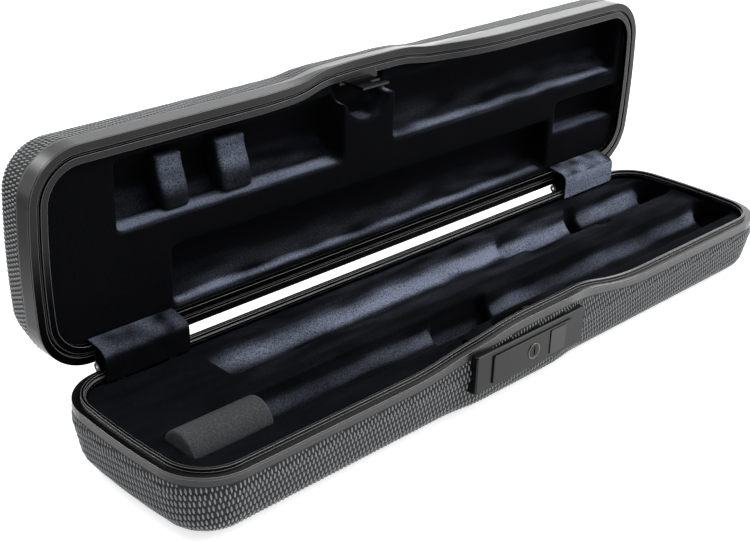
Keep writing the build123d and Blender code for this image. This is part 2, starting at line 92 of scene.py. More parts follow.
def feed(tree: bpy.types.NodeTree, node: bpy.types.Node, links: dict) -> None:
    """Sets or connects inputs of a node.

    Args:
        tree: the tree that holds the node.
        node: the node.
        links: input name or number to a value, to an output socket that feeds it, or to a node
            whose first output feeds it.
    """
    for key, value in links.items():
        if isinstance(value, bpy.types.Node):
            value = value.outputs[0]
        if isinstance(value, bpy.types.NodeSocket):
            tree.links.new(value, node.inputs[key])
        else:
            node.inputs[key].default_value = value


def add_node(tree: bpy.types.NodeTree, kind: str, settings: dict | None = None,
             links: dict | None = None) -> bpy.types.Node:
    """Adds a node with its settings and its inputs.

    Args:
        tree: the tree that takes the node.
        kind: the node's type name.
        settings: properties to set on the node.
        links: its inputs, as feed() takes them.

    Returns:
        The new node.
    """
    made = tree.nodes.new(kind)
    for key, value in (settings or {}).items():
        setattr(made, key, value)
    feed(tree, made, links or {})
    return made


def new_finish(name: str) -> tuple[bpy.types.Material, bpy.types.NodeTree, bpy.types.Node,
                                   bpy.types.NodeSocket]:
    """Starts a material.

    Args:
        name: name of the material.

    Returns:
        The material, its tree, its shader and its object coordinates.
    """
    made = bpy.data.materials.new(name)
    made.use_nodes = True
    tree = made.node_tree
    place = add_node(tree, "ShaderNodeTexCoord").outputs["Object"]
    return made, tree, tree.nodes["Principled BSDF"], place


def new_object(name: str, data: bpy.types.ID) -> bpy.types.Object:
    """Links data into the scene as an object at the origin.

    Args:
        name: name of the object.
        data: its mesh, curve, lamp or camera.

    Returns:
        The new object.
    """
    made = bpy.data.objects.new(name, data)
    bpy.context.scene.collection.objects.link(made)
    return made


def mesh_object(name: str, points: list, faces: list) -> bpy.types.Object:
    """Builds an object from points in millimetres.

    Args:
        name: name of the object.
        points: points of three numbers.
        faces: lists of point numbers.

    Returns:
        The new object, with its place in its mesh.
    """
    mesh = bpy.data.meshes.new(name)
    mesh.from_pydata([[c * MM for c in p] for p in points], [], faces)
    mesh.update()
    return new_object(name, mesh)


def baked(obj: bpy.types.Object) -> bpy.types.Object:
    """Turns an object's modifiers into its mesh.

    Args:
        obj: object with modifiers.

    Returns:
        The same object, with a plain mesh and no modifier.
    """
    bpy.context.view_layer.update()
    seen = obj.evaluated_get(bpy.context.evaluated_depsgraph_get())
    mesh = bpy.data.meshes.new_from_object(seen)
    obj.modifiers.clear()
    obj.data = mesh
    return obj


def smooth(obj: bpy.types.Object) -> bpy.types.Object:
    """Shades every face of an object smooth."""
    obj.data.polygons.foreach_set("use_smooth", [True] * len(obj.data.polygons))
    return obj


def merged_copy(node: str, name: str) -> bpy.types.Object:
    """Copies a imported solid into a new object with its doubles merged.

    Args:
        node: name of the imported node.
        name: name of the copy.

    Returns:
        The copy, with no material.
    """
    source = bmesh.new()
    source.from_mesh(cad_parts[node].data)
    bmesh.ops.remove_doubles(source, verts=source.verts, dist=MERGE_MM * MM)
    mesh = bpy.data.meshes.new(name)
    source.to_mesh(mesh)
    source.free()
    mesh.materials.clear()
    return new_object(name, mesh)


def softened(node: str, name: str, voxel: float, passes: int) -> bpy.types.Object:
    """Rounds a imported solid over, as cloth over a core or cut foam is.

    Args:
        node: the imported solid.
        name: name of the new piece.
        voxel: remesh size in millimetres.
        passes: how often it is smoothed.

    Returns:
        A closed, smooth piece.
    """
    piece = merged_copy(node, name)
    remesh = piece.modifiers.new("remesh", "REMESH")
    remesh.mode = "VOXEL"
    remesh.voxel_size = voxel * MM
    relax = piece.modifiers.new("relax", "SMOOTH")
    relax.factor = 0.5
    relax.iterations = passes
    return smooth(baked(piece))


def coordinates(obj: bpy.types.Object) -> np.ndarray:
    """Reads the vertices of an object.

    Args:
        obj: the object.

    Returns:
        Their places in metres, one row each.
    """
    flat = np.empty(len(obj.data.vertices) * 3)
    obj.data.vertices.foreach_get("co", flat)
    return flat.reshape(-1, 3)


def vertex_normals(obj: bpy.types.Object) -> np.ndarray:
    """Reads the vertex normals of an object.

    Args:
        obj: the object.

    Returns:
        The normals, one row each.
    """
    flat = np.empty(len(obj.data.vertices) * 3)
    obj.data.vertex_normals.foreach_get("vector", flat)
    return flat.reshape(-1, 3)


def set_coordinates(obj: bpy.types.Object, places: np.ndarray) -> None:
    """Moves the vertices of an object to new places, in metres."""
    obj.data.vertices.foreach_set("co", np.ascontiguousarray(places).ravel())
    obj.data.update()


def store_painted_sheen(obj: bpy.types.Object, painted_sheen: np.ndarray) -> None:
    """Stores the painted sheen of each point, for the velvet to read as a lighter colour."""
    layer = obj.data.attributes.new("pile", "FLOAT", "POINT")
    layer.data.foreach_set("value", painted_sheen.astype(np.float32))


def rise_between(values: np.ndarray, low: float, high: float) -> np.ndarray:
    """Smooth step from 0 at low to 1 at high."""
    t = np.clip((values - low) / (high - low), 0, 1)
    return t * t * (3 - 2 * t)


@dataclass(frozen=True)
class CaseForm:
    """Sizes of the moulded trays, in millimetres, as in the part's drawing."""

    length: float = 420.0
    width: float = 102.4
    base_height: float = 33.4
    lid_height: float = 35.4
    corner: float = 25.5
    end_bow: float = 3.3
    end_play: float = 0.8
    band: float = 9.5
    draft: float = 11.0
    edge_round: float = 13.5
    wave_rise: float = 9.3
    wave_crest: float = 10.0
    wave_foot: float = 90.0
    latch_x: float = -12.0
    latch_z: float = 25.3
    plate_width: float = 80.0
    plate_height: float = 20.0
    hinge_x: float = 162.0
    hinge_y: float = 54.2
    hinge_z: float = 33.45
    base_land: float = 30.1
    lid_land: float = 58.15
    base_front_y: float = -30.0
    lid_front_z: float = 120.0
    field_margin: float = 7.0

    def smooth_rim(self, side: Side) -> float:
        """Height of the smooth strip between the rim and the relief, in millimetres."""
        return 4.2 if side is Side.BASE else 10.5

    def opened(self, point: Vector) -> Vector:
        """Where a point of the closed lid stands with the lid open, in millimetres."""
        return Vector((point.x, self.hinge_y + point.z - self.hinge_z,
                       self.hinge_z - point.y + self.hinge_y))

    def plan(self, steps: int = 14, end_steps: int = 8) -> list[Vector]:
        """Outline of the case seen from above.

        Args:
            steps: points on each rounded corner.
            end_steps: points on each half of a bowed end.

        Returns:
            Points in millimetres, anticlockwise, starting at the middle of the rear.
        """
        half = self.width / 2
        side = self.length / 2 + self.end_play - self.end_bow
        bulge = (half ** 2 + self.end_bow ** 2) / (2 * self.end_bow)
        centre = Vector((side + self.end_bow - bulge, 0.0))
        inner = bulge - self.corner
        corner_y = half - self.corner
        corner_x = centre.x + math.sqrt(inner ** 2 - corner_y ** 2)
        lean = math.atan2(corner_y, corner_x - centre.x)
        quarter = [Vector((0.0, half))]
        turns = [lean + (math.pi / 2 - lean) * (1 - i / steps) for i in range(steps + 1)]
        quarter += [Vector((corner_x + self.corner * math.cos(t), corner_y + self.corner * math.sin(t)))
                    for t in turns]
        end = [lean * (1 - i / end_steps) for i in range(1, end_steps + 1)]
        quarter += [Vector((centre.x + bulge * math.cos(t), bulge * math.sin(t))) for t in end]
        upper = [Vector((-p.x, p.y)) for p in quarter]
        lower = [Vector((-p.x, -p.y)) for p in reversed(quarter[1:-1])]
        around = upper + lower + [Vector((0.0, -half))]
        around += [Vector((p.x, -p.y)) for p in quarter[1:-1]] + list(reversed(quarter[1:]))
        return around

    def section(self, side: Side, steps: int = 16) -> list[Vector]:
        """Line down one wall, as margin from the outline against depth below the rim.

        Args:
            side: which tray.
            steps: parts of the rounded edge.

        Returns:
            Points in millimetres from above the rim to the flat of the tray.
        """
        depth = self.base_height if side is Side.BASE else self.lid_height
        a = math.radians(self.draft)
        r = self.edge_round
        centre = Vector(((r + math.sin(a) * (depth - r - self.band)) / math.cos(a), depth - r))
        start = -self.wave_rise if side is Side.BASE else 0.0
        line = [Vector((0.0, start)), Vector((0.0, self.band))]
        turns = [math.pi - a + (a - math.pi / 2) * i / steps for i in range(steps + 1)]
        line += [centre + Vector((r * math.cos(t), r * math.sin(t))) for t in turns]
        return line + [Vector((centre.x + self.field_margin, depth))]


FORM = CaseForm()


def wave_lift(tree: bpy.types.NodeTree, side: Side, place: bpy.types.NodeSocket) -> bpy.types.Node:
    """How far the wave of the front rim lifts the smooth strip at a place.

    Args:
        tree: the tree that takes the nodes.
        side: which tray.
        place: the place, in metres.

    Returns:
        The node that gives the lift in metres, 0 away from the front wall.
    """
    parts = add_node(tree, SPLIT, links={0: place}).outputs
    away = add_node(tree, MATH, {"operation": "ABSOLUTE"}, {0: parts[0]})
    wave = add_node(tree, MAP_RANGE, {"interpolation_type": "SMOOTHSTEP"}, {
        "Value": away, "From Min": FORM.wave_foot * MM, "From Max": FORM.wave_crest * MM,
        "To Min": 0.0, "To Max": FORM.wave_rise * MM})
    if side is Side.BASE:
        front = add_node(tree, MATH, {"operation": "LESS_THAN"}, {0: parts[1], 1: FORM.base_front_y * MM})
    else:
        front = add_node(tree, MATH, {"operation": "GREATER_THAN"}, {0: parts[2], 1: FORM.lid_front_z * MM})
    return add_node(tree, MATH, {"operation": "MULTIPLY"}, {0: wave, 1: front})


@dataclass(frozen=True)
class MouldedPlastic:
    """ABS, injection moulded: black, semi-gloss, with a fine spark grain that softens its gloss.

    The grain is drawn coarser than the real one, so that it shows.
    """

    name: str
    colour: str = "#121314"
    roughness: float = 0.3
    uneven: float = 0.03
    ior: float = 1.53
    grain_mm: float = 0.5
    grain_depth: float = 0.12
    grain_height_mm: float = 0.1
    cloud_mm: float = 60.0
    edge_mm: float = 0.35
    edge_samples: int = 12
    gloss: float = 0.5
    lacquer: float = 0.0
    lacquer_ior: float = 1.5
    edge_highlight: str | None = None
    highlight_starts: float = 0.985
    highlight_full: float = 0.88
    field_shade_colour: str | None = None
    field_roughness: float = 0.55
    field_blend_mm: float = 0.2
    side: Side = Side.BASE

    def material(self) -> bpy.types.Material:
        """Builds the plastic.

        Returns:
            The material; with a field shade colour, the part below the smooth rim band is duller and
            painted darker as painted shade, and with an edge highlight the sharp edges get a painted
            highlight.
        """
        made, tree, shader, place = new_finish(self.name)
        fine = add_node(tree, "ShaderNodeTexNoise", links={
            "Vector": place, "Scale": 1 / (self.grain_mm * MM), "Detail": 2.0, "Roughness": 0.6})
        broad = add_node(tree, "ShaderNodeTexNoise", links={
            "Vector": place, "Scale": 1 / (self.cloud_mm * MM), "Detail": 1.0})
        rough = add_node(tree, MAP_RANGE, links={
            "Value": broad.outputs["Fac"], "From Min": NOISE_LOW, "From Max": NOISE_HIGH,
            "To Min": self.roughness - self.uneven, "To Max": self.roughness + self.uneven})
        edge = add_node(tree, "ShaderNodeBevel", {"samples": self.edge_samples}, {
            "Radius": self.edge_mm * MM})
        bump = add_node(tree, "ShaderNodeBump", links={
            "Height": fine.outputs["Fac"], "Strength": self.grain_depth,
            "Distance": self.grain_height_mm * MM, "Normal": edge})
        feed(tree, shader, {
            "Base Color": linear(self.colour), "Roughness": rough, "IOR": self.ior,
            "Specular IOR Level": self.gloss, "Coat Weight": self.lacquer, "Coat IOR": self.lacquer_ior,
            "Coat Roughness": self.roughness, "Normal": bump})
        # Painted shade: the field under the relief is painted darker as well as made duller
        if self.field_shade_colour:
            inside = self.field_mask(tree, place)
            shaded_tint = add_node(tree, "ShaderNodeMix", {"data_type": "RGBA"}, {
                "Factor": inside, "A": linear(self.colour), "B": linear(self.field_shade_colour)})
            dull = add_node(tree, "ShaderNodeMix", {"data_type": "FLOAT"}, {
                "Factor": inside, "A": rough, "B": self.field_roughness})
            coat = add_node(tree, "ShaderNodeMix", {"data_type": "FLOAT"}, {
                "Factor": inside, "A": self.lacquer, "B": 0.0})
            feed(tree, shader, {"Base Color": shaded_tint.outputs["Result"], "Roughness": dull.outputs["Result"],
                                "Coat Weight": coat.outputs["Result"]})
        # Painted highlight: sharp edges, where the bevel normal turns from the true normal, are painted
        # light
        if self.edge_highlight:
            flat = add_node(tree, "ShaderNodeNewGeometry").outputs["True Normal"]
            turn = add_node(tree, VECTOR_MATH, {"operation": "DOT_PRODUCT"}, {0: edge, 1: flat})
            on_edge = add_node(tree, MAP_RANGE, links={
                "Value": turn.outputs["Value"], "From Min": self.highlight_starts, "From Max": self.highlight_full})
            painted_edge_highlight = add_node(tree, "ShaderNodeMix", {"data_type": "RGBA"}, {
                "Factor": on_edge, "A": linear(self.colour), "B": linear(self.edge_highlight)})
            feed(tree, shader, {"Base Color": painted_edge_highlight.outputs["Result"]})
        return made

    def field_mask(self, tree: bpy.types.NodeTree, place: bpy.types.NodeSocket) -> bpy.types.Node:
        """Where the relief field lies on a tray.

        Args:
            tree: the material's tree.
            place: object coordinates.

        Returns:
            A node that gives 1 in the field and 0 on the rim band.
        """
        parts = add_node(tree, SPLIT, links={0: place}).outputs
        strip = FORM.smooth_rim(self.side)
        start = FORM.base_height - strip if self.side is Side.BASE else FORM.hinge_y + strip
        edge = add_node(tree, MATH, {"operation": "ADD"}, {
            0: start * MM, 1: wave_lift(tree, self.side, place)})
        upper, lower = (edge, parts[2]) if self.side is Side.BASE else (parts[1], edge)
        depth = add_node(tree, MATH, {"operation": "SUBTRACT"}, {0: upper, 1: lower})
        return add_node(tree, MAP_RANGE, links={
            "Value": depth, "From Min": -self.field_blend_mm * MM, "From Max": self.field_blend_mm * MM})


@dataclass(frozen=True)
class StovedEnamel(MouldedPlastic):
    """Enamel sprayed and stoved on pressed steel: deep black and even, with crisp edges."""

    colour: str = "#080807"
    roughness: float = 0.25
    gloss: float = 0.2
    edge_mm: float = 0.15


@dataclass(frozen=True)
class Velvet:
    """Short-pile velvet, blue-black: dark face on, lightened by a painted sheen where the pile attribute
    says.

    The threads of the pile are drawn coarser than the real ones, so that they show.
    """

    name: str = "blue_black_velvet"
    deep: str = "#050506"
    # The lighter colour is the painted sheen's; haze tints the shader's own faint sheen
    painted_sheen: str = "#838b9f"
    haze: str = "#8fa0c0"
    pile_mm: float = 0.7
    pile_height_mm: float = 0.25
    sheen_patch_mm: float = 22.0
    stretch: tuple[float, float, float] = (0.5, 2.2, 2.2)
    least_tone: float = 0.006
    sheen_patch_swing: tuple[float, float] = (0.6, 1.3)
    thread_swing: tuple[float, float] = (0.25, 1.75)
    sheen: float = 0.025
    sheen_roughness: float = 0.35

    def material(self) -> bpy.types.Material:
        """Builds the velvet; the pile attribute holds the painted sheen, which draws the colour towards a
        lighter one.

        Returns:
            The material.
        """
        made, tree, shader, place = new_finish(self.name)
        pile = add_node(tree, "ShaderNodeAttribute", {"attribute_name": "pile"}).outputs["Fac"]
        threads = add_node(tree, "ShaderNodeTexNoise", links={
            "Vector": place, "Scale": 1 / (self.pile_mm * MM), "Detail": 2.0, "Roughness": 0.7})
        along = add_node(tree, "ShaderNodeMapping", links={"Vector": place, "Scale": self.stretch})
        patches = add_node(tree, "ShaderNodeTexNoise", links={
            "Vector": along, "Scale": 1 / (self.sheen_patch_mm * MM), "Detail": 3.0, "Roughness": 0.6})
        sheen_patches = add_node(tree, MAP_RANGE, links={
            "Value": patches.outputs["Fac"], "From Min": NOISE_LOW, "From Max": NOISE_HIGH,
            "To Min": self.sheen_patch_swing[0], "To Max": self.sheen_patch_swing[1]})
        speck = add_node(tree, MAP_RANGE, links={
            "Value": threads.outputs["Fac"], "From Min": 0.32, "From Max": 0.68,
            "To Min": self.thread_swing[0], "To Max": self.thread_swing[1]})
        # Painted sheen: the stored amount, made patchy, mixes the deep colour towards the lighter one
        turned = add_node(tree, MATH, {"operation": "MULTIPLY_ADD"}, {
            0: pile, 1: sheen_patches, 2: self.least_tone})
        sheen_amount = add_node(tree, MATH, {"operation": "MULTIPLY"}, {0: turned, 1: speck})
        colour = add_node(tree, "ShaderNodeMix", {"data_type": "RGBA"}, {
            "Factor": sheen_amount, "A": linear(self.deep), "B": linear(self.painted_sheen)})
        bump = add_node(tree, "ShaderNodeBump", links={
            "Height": threads.outputs["Fac"], "Strength": 0.5, "Distance": self.pile_height_mm * MM})
        feed(tree, shader, {
            "Base Color": colour.outputs["Result"], "Roughness": 0.95, "Specular IOR Level": 0.04,
            "Sheen Weight": self.sheen, "Sheen Roughness": self.sheen_roughness,
            "Sheen Tint": linear(self.haze), "Normal": bump})
        return made


@dataclass(frozen=True)
class OpenCellFoam:
    """Polyurethane foam, die-cut: charcoal, dead matt, with open cells a fraction of a millimetre wide."""

    name: str = "charcoal_foam"
    colour: str = "#47484a"
    cell_colour: str = "#333436"
    cell_mm: float = 0.8
    cell_depth_mm: float = 0.2

    def material(self) -> bpy.types.Material:
        """Builds the foam; its cells are drawn about twice as coarse as real, so that they show.

        Returns:
            The material.
        """
        made, tree, shader, place = new_finish(self.name)
        cells = add_node(tree, "ShaderNodeTexVoronoi", links={
            "Vector": place, "Scale": 1 / (self.cell_mm * MM)}).outputs["Distance"]
        tone = add_node(tree, MAP_RANGE, links={"Value": cells, "From Min": 0.1, "From Max": 0.7})
        colour = add_node(tree, "ShaderNodeMix", {"data_type": "RGBA"}, {
            "Factor": tone, "A": linear(self.cell_colour), "B": linear(self.colour)})
        bump = add_node(tree, "ShaderNodeBump", links={
            "Height": cells, "Strength": 0.6, "Distance": self.cell_depth_mm * MM})
        feed(tree, shader, {"Base Color": colour.outputs["Result"], "Roughness": 0.95,
                            "Specular IOR Level": 0.15, "Normal": bump})
        return made


@dataclass(frozen=True)
class PlatedMetal:
    """Steel, plated bright or dark, pressed and tumbled: a broad soft reflection.

    Its rolling grain is drawn coarser than the real one, so that it shows.
    """

    name: str
    colour: str = "#b9b9b6"
    roughness: float = 0.28
    uneven: tuple[float, float] = (0.06, 0.08)
    grain_mm: float = 0.3
    rolled: tuple[float, float, float] = (0.06, 1.0, 1.0)
    edge_mm: float = 0.2
    edge_samples: int = 6

    def material(self) -> bpy.types.Material:
        """Builds the metal with a faint rolling grain along the case.

        Returns:
            The material.
        """
        made, tree, shader, place = new_finish(self.name)
        drawn = add_node(tree, "ShaderNodeMapping", links={"Vector": place, "Scale": self.rolled})
        grain = add_node(tree, "ShaderNodeTexNoise", links={
            "Vector": drawn, "Scale": 1 / (self.grain_mm * MM), "Detail": 2.0})
        rough = add_node(tree, MAP_RANGE, links={
            "Value": grain.outputs["Fac"], "From Min": NOISE_LOW, "From Max": NOISE_HIGH,
            "To Min": self.roughness - self.uneven[0], "To Max": self.roughness + self.uneven[1]})
        edge = add_node(tree, "ShaderNodeBevel", {"samples": self.edge_samples}, {
            "Radius": self.edge_mm * MM})
        feed(tree, shader, {"Metallic": 1.0, "Base Color": linear(self.colour), "Roughness": rough,
                            "Normal": edge})
        return made


@dataclass
class Relief:
    """Field of small raised lenses that covers the walls of one tray below its rim band.

    Lengths are in millimetres. Drift is the number of rows by which the columns shift round the case.
    """

    side: Side
    column: float = 1.065
    row: float = 7.0
    lens_length: float = 3.3
    lens_width: float = 1.0
    lens_height: float = 0.42
    lens_segments: int = 6
    lens_rings: int = 4
    lean: float = 0.165
    drift: int = 25
    foot: float = 10.8
    clear: float = 3.0
    least_share: float = 0.3
    under_plate: tuple[float, float] = (0.4, 0.8)

    def guide(self, name: str, points: list[Vector], closed: bool) -> bpy.types.Object:
        """Makes a guide line for the tree; it is removed again once the relief is baked.

        Args:
            name: name of the guide.
            points: points in millimetres.
            closed: whether the line closes on itself.

        Returns:
            The curve object.
        """
        curve = bpy.data.curves.new(name, "CURVE")
        curve.dimensions = "3D"
        line = curve.splines.new("POLY")
        line.points.add(len(points) - 1)
        for spot, point in zip(line.points, points):
            spot.co = (*(c * MM for c in point), 1.0)
        line.use_cyclic_u = closed
        return new_object(name, curve)

    def perimeter(self) -> list[Vector]:
        """Rim line of the tray, run so that tangent times depth direction points outwards.

        Returns:
            Points in millimetres.
        """
        flat = [Vector((p.x, p.y, FORM.base_height)) for p in FORM.plan()]
        if self.side is Side.BASE:
            return [flat[0]] + list(reversed(flat[1:]))
        return [FORM.opened(p) for p in flat]

    def stations(self, tree: bpy.types.NodeTree, given: dict) -> tuple[bpy.types.Node, bpy.types.Node]:
        """Numbers the lenses and lays them out in drifting, leaning columns.

        Args:
            tree: the relief tree.
            given: sockets of the group input, by name.

        Returns:
            The share of the way round the rim, and the way down the wall, of each lens.
        """
        index = add_node(tree, "GeometryNodeInputIndex")
        centred = add_node(tree, MATH, {"operation": "ADD"}, {0: index, 1: 0.5})
        divided = add_node(tree, MATH, {"operation": "DIVIDE"}, {0: centred, 1: given["Rows"]})
        column = add_node(tree, MATH, {"operation": "FLOOR"}, {0: divided})
        before = add_node(tree, MATH, {"operation": "MULTIPLY"}, {0: column, 1: given["Rows"]})
        step = add_node(tree, MATH, {"operation": "SUBTRACT"}, {0: index, 1: before})
        stagger = add_node(tree, MATH, {"operation": "MULTIPLY"}, {0: column, 1: 0.5})
        drifted = add_node(tree, MATH, {"operation": "MULTIPLY_ADD"}, {
            0: column, 1: given["Drift"], 2: stagger})
        phase = add_node(tree, MATH, {"operation": "FRACT"}, {0: drifted})
        rows_down = add_node(tree, MATH, {"operation": "ADD"}, {0: step, 1: phase})
        middle = add_node(tree, MATH, {"operation": "MULTIPLY"}, {0: rows_down, 1: given["Row pitch"]})
        beside = add_node(tree, MATH, {"operation": "ADD"}, {0: column, 1: 0.5})
        upright = add_node(tree, MATH, {"operation": "DIVIDE"}, {0: beside, 1: given["Columns"]})
        shift = add_node(tree, MATH, {"operation": "MULTIPLY"}, {0: middle, 1: given["Lean"]})
        turned = add_node(tree, MATH, {"operation": "DIVIDE"}, {0: shift, 1: given["Round"]})
        leaned = add_node(tree, MATH, {"operation": "ADD"}, {0: upright, 1: turned})
        return add_node(tree, MATH, {"operation": "FRACT"}, {0: leaned}), middle

    def trimmed(self, tree: bpy.types.NodeTree, given: dict, middle: bpy.types.Node,
                rim: bpy.types.NodeSocket) -> tuple[bpy.types.Node, bpy.types.Node]:
        """Cuts each lens off at the edge of the smooth rim and at the foot of the wall.

        Args:
            tree: the relief tree.
            given: sockets of the group input, by name.
            middle: way down the wall to the middle of the whole lens.
            rim: place on the rim above the lens.

        Returns:
            The way to the middle of what is left, and the share of the length that is left.
        """
        towards = "SUBTRACT" if self.side is Side.BASE else "ADD"
        edge = add_node(tree, MATH, {"operation": towards}, {
            0: given["Band"], 1: wave_lift(tree, self.side, rim)})
        half = add_node(tree, SPLIT, links={0: given["Lens"]}).outputs[0]
        top = add_node(tree, MATH, {"operation": "SUBTRACT"}, {0: middle, 1: half})
        upper = add_node(tree, MATH, {"operation": "MAXIMUM"}, {0: top, 1: edge})
        bottom = add_node(tree, MATH, {"operation": "ADD"}, {0: middle, 1: half})
        lower = add_node(tree, MATH, {"operation": "MINIMUM"}, {0: bottom, 1: given["Foot"]})
        left = add_node(tree, MATH, {"operation": "SUBTRACT"}, {0: lower, 1: upper})
        whole = add_node(tree, MATH, {"operation": "MULTIPLY"}, {0: half, 1: 2.0})
        share = add_node(tree, MATH, {"operation": "DIVIDE"}, {0: left, 1: whole})
        both = add_node(tree, MATH, {"operation": "ADD"}, {0: upper, 1: lower})
        return add_node(tree, MATH, {"operation": "MULTIPLY"}, {0: both, 1: 0.5}), share

    def dropped(self, tree: bpy.types.NodeTree, share: bpy.types.Node) -> bpy.types.Node:
        """Chooses the lenses of which too little is left, or which lie behind the latch plate.

        Args:
            tree: the relief tree.
            share: the share that is left of each lens.

        Returns:
            A node that gives 1 where a lens goes.
        """
        unwanted = add_node(tree, MATH, {"operation": "LESS_THAN"}, {0: share, 1: self.least_share})
        if self.side is Side.BASE:
            place = add_node(tree, "GeometryNodeInputPosition")
            parts = add_node(tree, SPLIT, links={0: place}).outputs
            behind = add_node(tree, MATH, {"operation": "LESS_THAN"}, {0: parts[1], 1: 0.0})
            reach = (FORM.plate_width / 2 - self.under_plate[0],
                     FORM.plate_height / 2 - self.under_plate[1])
            for part, centre, limit in zip((parts[0], parts[2]), (FORM.latch_x, FORM.latch_z), reach):
                off = add_node(tree, MATH, {"operation": "SUBTRACT"}, {0: part, 1: centre * MM})
                size = add_node(tree, MATH, {"operation": "ABSOLUTE"}, {0: off})
                within = add_node(tree, MATH, {"operation": "LESS_THAN"}, {0: size, 1: limit * MM})
                behind = add_node(tree, MATH, {"operation": "MULTIPLY"}, {0: behind, 1: within})
            unwanted = add_node(tree, MATH, {"operation": "MAXIMUM"}, {0: unwanted, 1: behind})
        return add_node(tree, MATH, {"operation": "GREATER_THAN"}, {0: unwanted, 1: 0.5})

    def lens(self, tree: bpy.types.NodeTree) -> bpy.types.Node:
        """One lens of unit size, laid along its X axis.

        Args:
            tree: the relief tree.

        Returns:
            The node that gives its mesh.
        """
        ball = add_node(tree, "GeometryNodeMeshUVSphere", links={
            "Segments": self.lens_segments, "Rings": self.lens_rings, "Radius": 1.0})
        return add_node(tree, "GeometryNodeTransform", links={
            "Geometry": ball.outputs["Mesh"], "Rotation": (0.0, math.pi / 2, 0.0)})

    def inputs(self, tree: bpy.types.NodeTree) -> tuple[dict, dict[str, str]]:
        """Declares what goes into the tree and what comes out.

        Args:
            tree: the relief tree.

        Returns:
            The sockets of the group input, and their identifiers, both by name.
        """
        kinds = {"Rim": "Object", "Wall": "Object", "Shell": "Object", "Columns": "Int", "Rows": "Int",
                 "Row pitch": "Float", "Drift": "Float", "Lean": "Float", "Round": "Float",
                 "Band": "Float", "Foot": "Float", "Lens": "Vector", "Depth way": "Vector",
                 "Finish": "Material"}
        keys = {}
        for name, kind in kinds.items():
            socket = tree.interface.new_socket(name=name, in_out="INPUT", socket_type=f"NodeSocket{kind}")
            keys[name] = socket.identifier
        tree.interface.new_socket(name="Geometry", in_out="OUTPUT", socket_type="NodeSocketGeometry")
        group = add_node(tree, "NodeGroupInput")
        return {name: group.outputs[name] for name in kinds}, keys

    def laid_out(self, tree: bpy.types.NodeTree, given: dict,
                 shapes: dict) -> tuple[bpy.types.Node, dict[str, bpy.types.Node]]:
        """Puts a point at the rough place of each lens, from the rim line and the wall line.

        Args:
            tree: the relief tree.
            given: sockets of the group input, by name.
            shapes: geometry of the rim line, the wall line and the shell, by name.

        Returns:
            The points, and what each keeps while it moves: the run of the rim, the share that is
            left of its lens, and the way out of the wall.
        """
        grid = add_node(tree, "GeometryNodeMeshGrid", links={
            "Vertices X": given["Columns"], "Vertices Y": given["Rows"]})
        along, middle = self.stations(tree, given)
        rim = add_node(tree, "GeometryNodeSampleCurve", {"mode": "FACTOR", "use_all_curves": True}, {
            "Curves": shapes["Rim"], "Factor": along})
        down, share = self.trimmed(tree, given, middle, rim.outputs["Position"])
        wall = add_node(tree, "GeometryNodeSampleCurve", {"mode": "LENGTH", "use_all_curves": True}, {
            "Curves": shapes["Wall"], "Length": down})
        sideways = add_node(tree, VECTOR_MATH, {"operation": "CROSS_PRODUCT"}, {
            0: rim.outputs["Tangent"], 1: given["Depth way"]})
        outward = add_node(tree, VECTOR_MATH, {"operation": "NORMALIZE"}, {0: sideways})
        margin, depth, _ = add_node(tree, SPLIT, links={0: wall.outputs["Position"]}).outputs
        inwards = add_node(tree, MATH, {"operation": "MULTIPLY"}, {0: margin, 1: -1.0})
        inset = add_node(tree, VECTOR_MATH, {"operation": "SCALE"}, {0: outward, "Scale": inwards})
        sink = add_node(tree, VECTOR_MATH, {"operation": "SCALE"}, {0: given["Depth way"], "Scale": depth})
        below_rim = add_node(tree, VECTOR_MATH, {"operation": "ADD"}, {
            0: rim.outputs["Position"], 1: inset})
        rough_place = add_node(tree, VECTOR_MATH, {"operation": "ADD"}, {0: below_rim, 1: sink})
        lean_in, lean_down, _ = add_node(tree, SPLIT, links={0: wall.outputs["Tangent"]}).outputs
        level = add_node(tree, VECTOR_MATH, {"operation": "SCALE"}, {0: outward, "Scale": lean_down})
        under = add_node(tree, VECTOR_MATH, {"operation": "SCALE"}, {
            0: given["Depth way"], "Scale": lean_in})
        outside = add_node(tree, VECTOR_MATH, {"operation": "ADD"}, {0: level, 1: under})
        points = add_node(tree, "GeometryNodeSetPosition", links={
            "Geometry": grid.outputs["Mesh"], "Position": rough_place})
        kept = {"run": ("FLOAT_VECTOR", rim.outputs["Tangent"]), "share": ("FLOAT", share),
                "outside": ("FLOAT_VECTOR", outside)}
        stored = {}
        for name, (kind, value) in kept.items():
            points = add_node(tree, "GeometryNodeStoreNamedAttribute",
                              {"data_type": kind, "domain": "POINT"},
                              {"Geometry": points, "Name": name, "Value": value})
            stored[name] = add_node(tree, "GeometryNodeInputNamedAttribute", {"data_type": kind}, {
                "Name": name})
        return points, stored

    def settled(self, tree: bpy.types.NodeTree, points: bpy.types.Node, shell: bpy.types.NodeSocket,
                outside: bpy.types.Node) -> tuple[bpy.types.Node, bpy.types.NodeSocket]:
        """Moves the points onto the shell, found from a little way out of its wall.

        Args:
            tree: the relief tree.
            points: the points.
            shell: geometry of the shell.
            outside: the way out of the wall at each point.

        Returns:
            The moved points, and the shell's normal at each.
        """
        here = add_node(tree, "GeometryNodeInputPosition")
        off_wall = add_node(tree, VECTOR_MATH, {"operation": "SCALE"}, {
            0: outside, "Scale": self.clear * MM})
        outer = add_node(tree, VECTOR_MATH, {"operation": "ADD"}, {0: here, 1: off_wall})
        near = add_node(tree, "GeometryNodeProximity", {"target_element": "FACES"}, {
            0: shell, "Sample Position": outer})
        face_normal = add_node(tree, "GeometryNodeInputNormal")
        normal = add_node(tree, "GeometryNodeSampleNearestSurface", {"data_type": "FLOAT_VECTOR"}, {
            "Mesh": shell, "Value": face_normal, "Sample Position": outer})
        moved = add_node(tree, "GeometryNodeSetPosition", links={
            "Geometry": points, "Position": near.outputs["Position"]})
        return moved, normal.outputs["Value"]

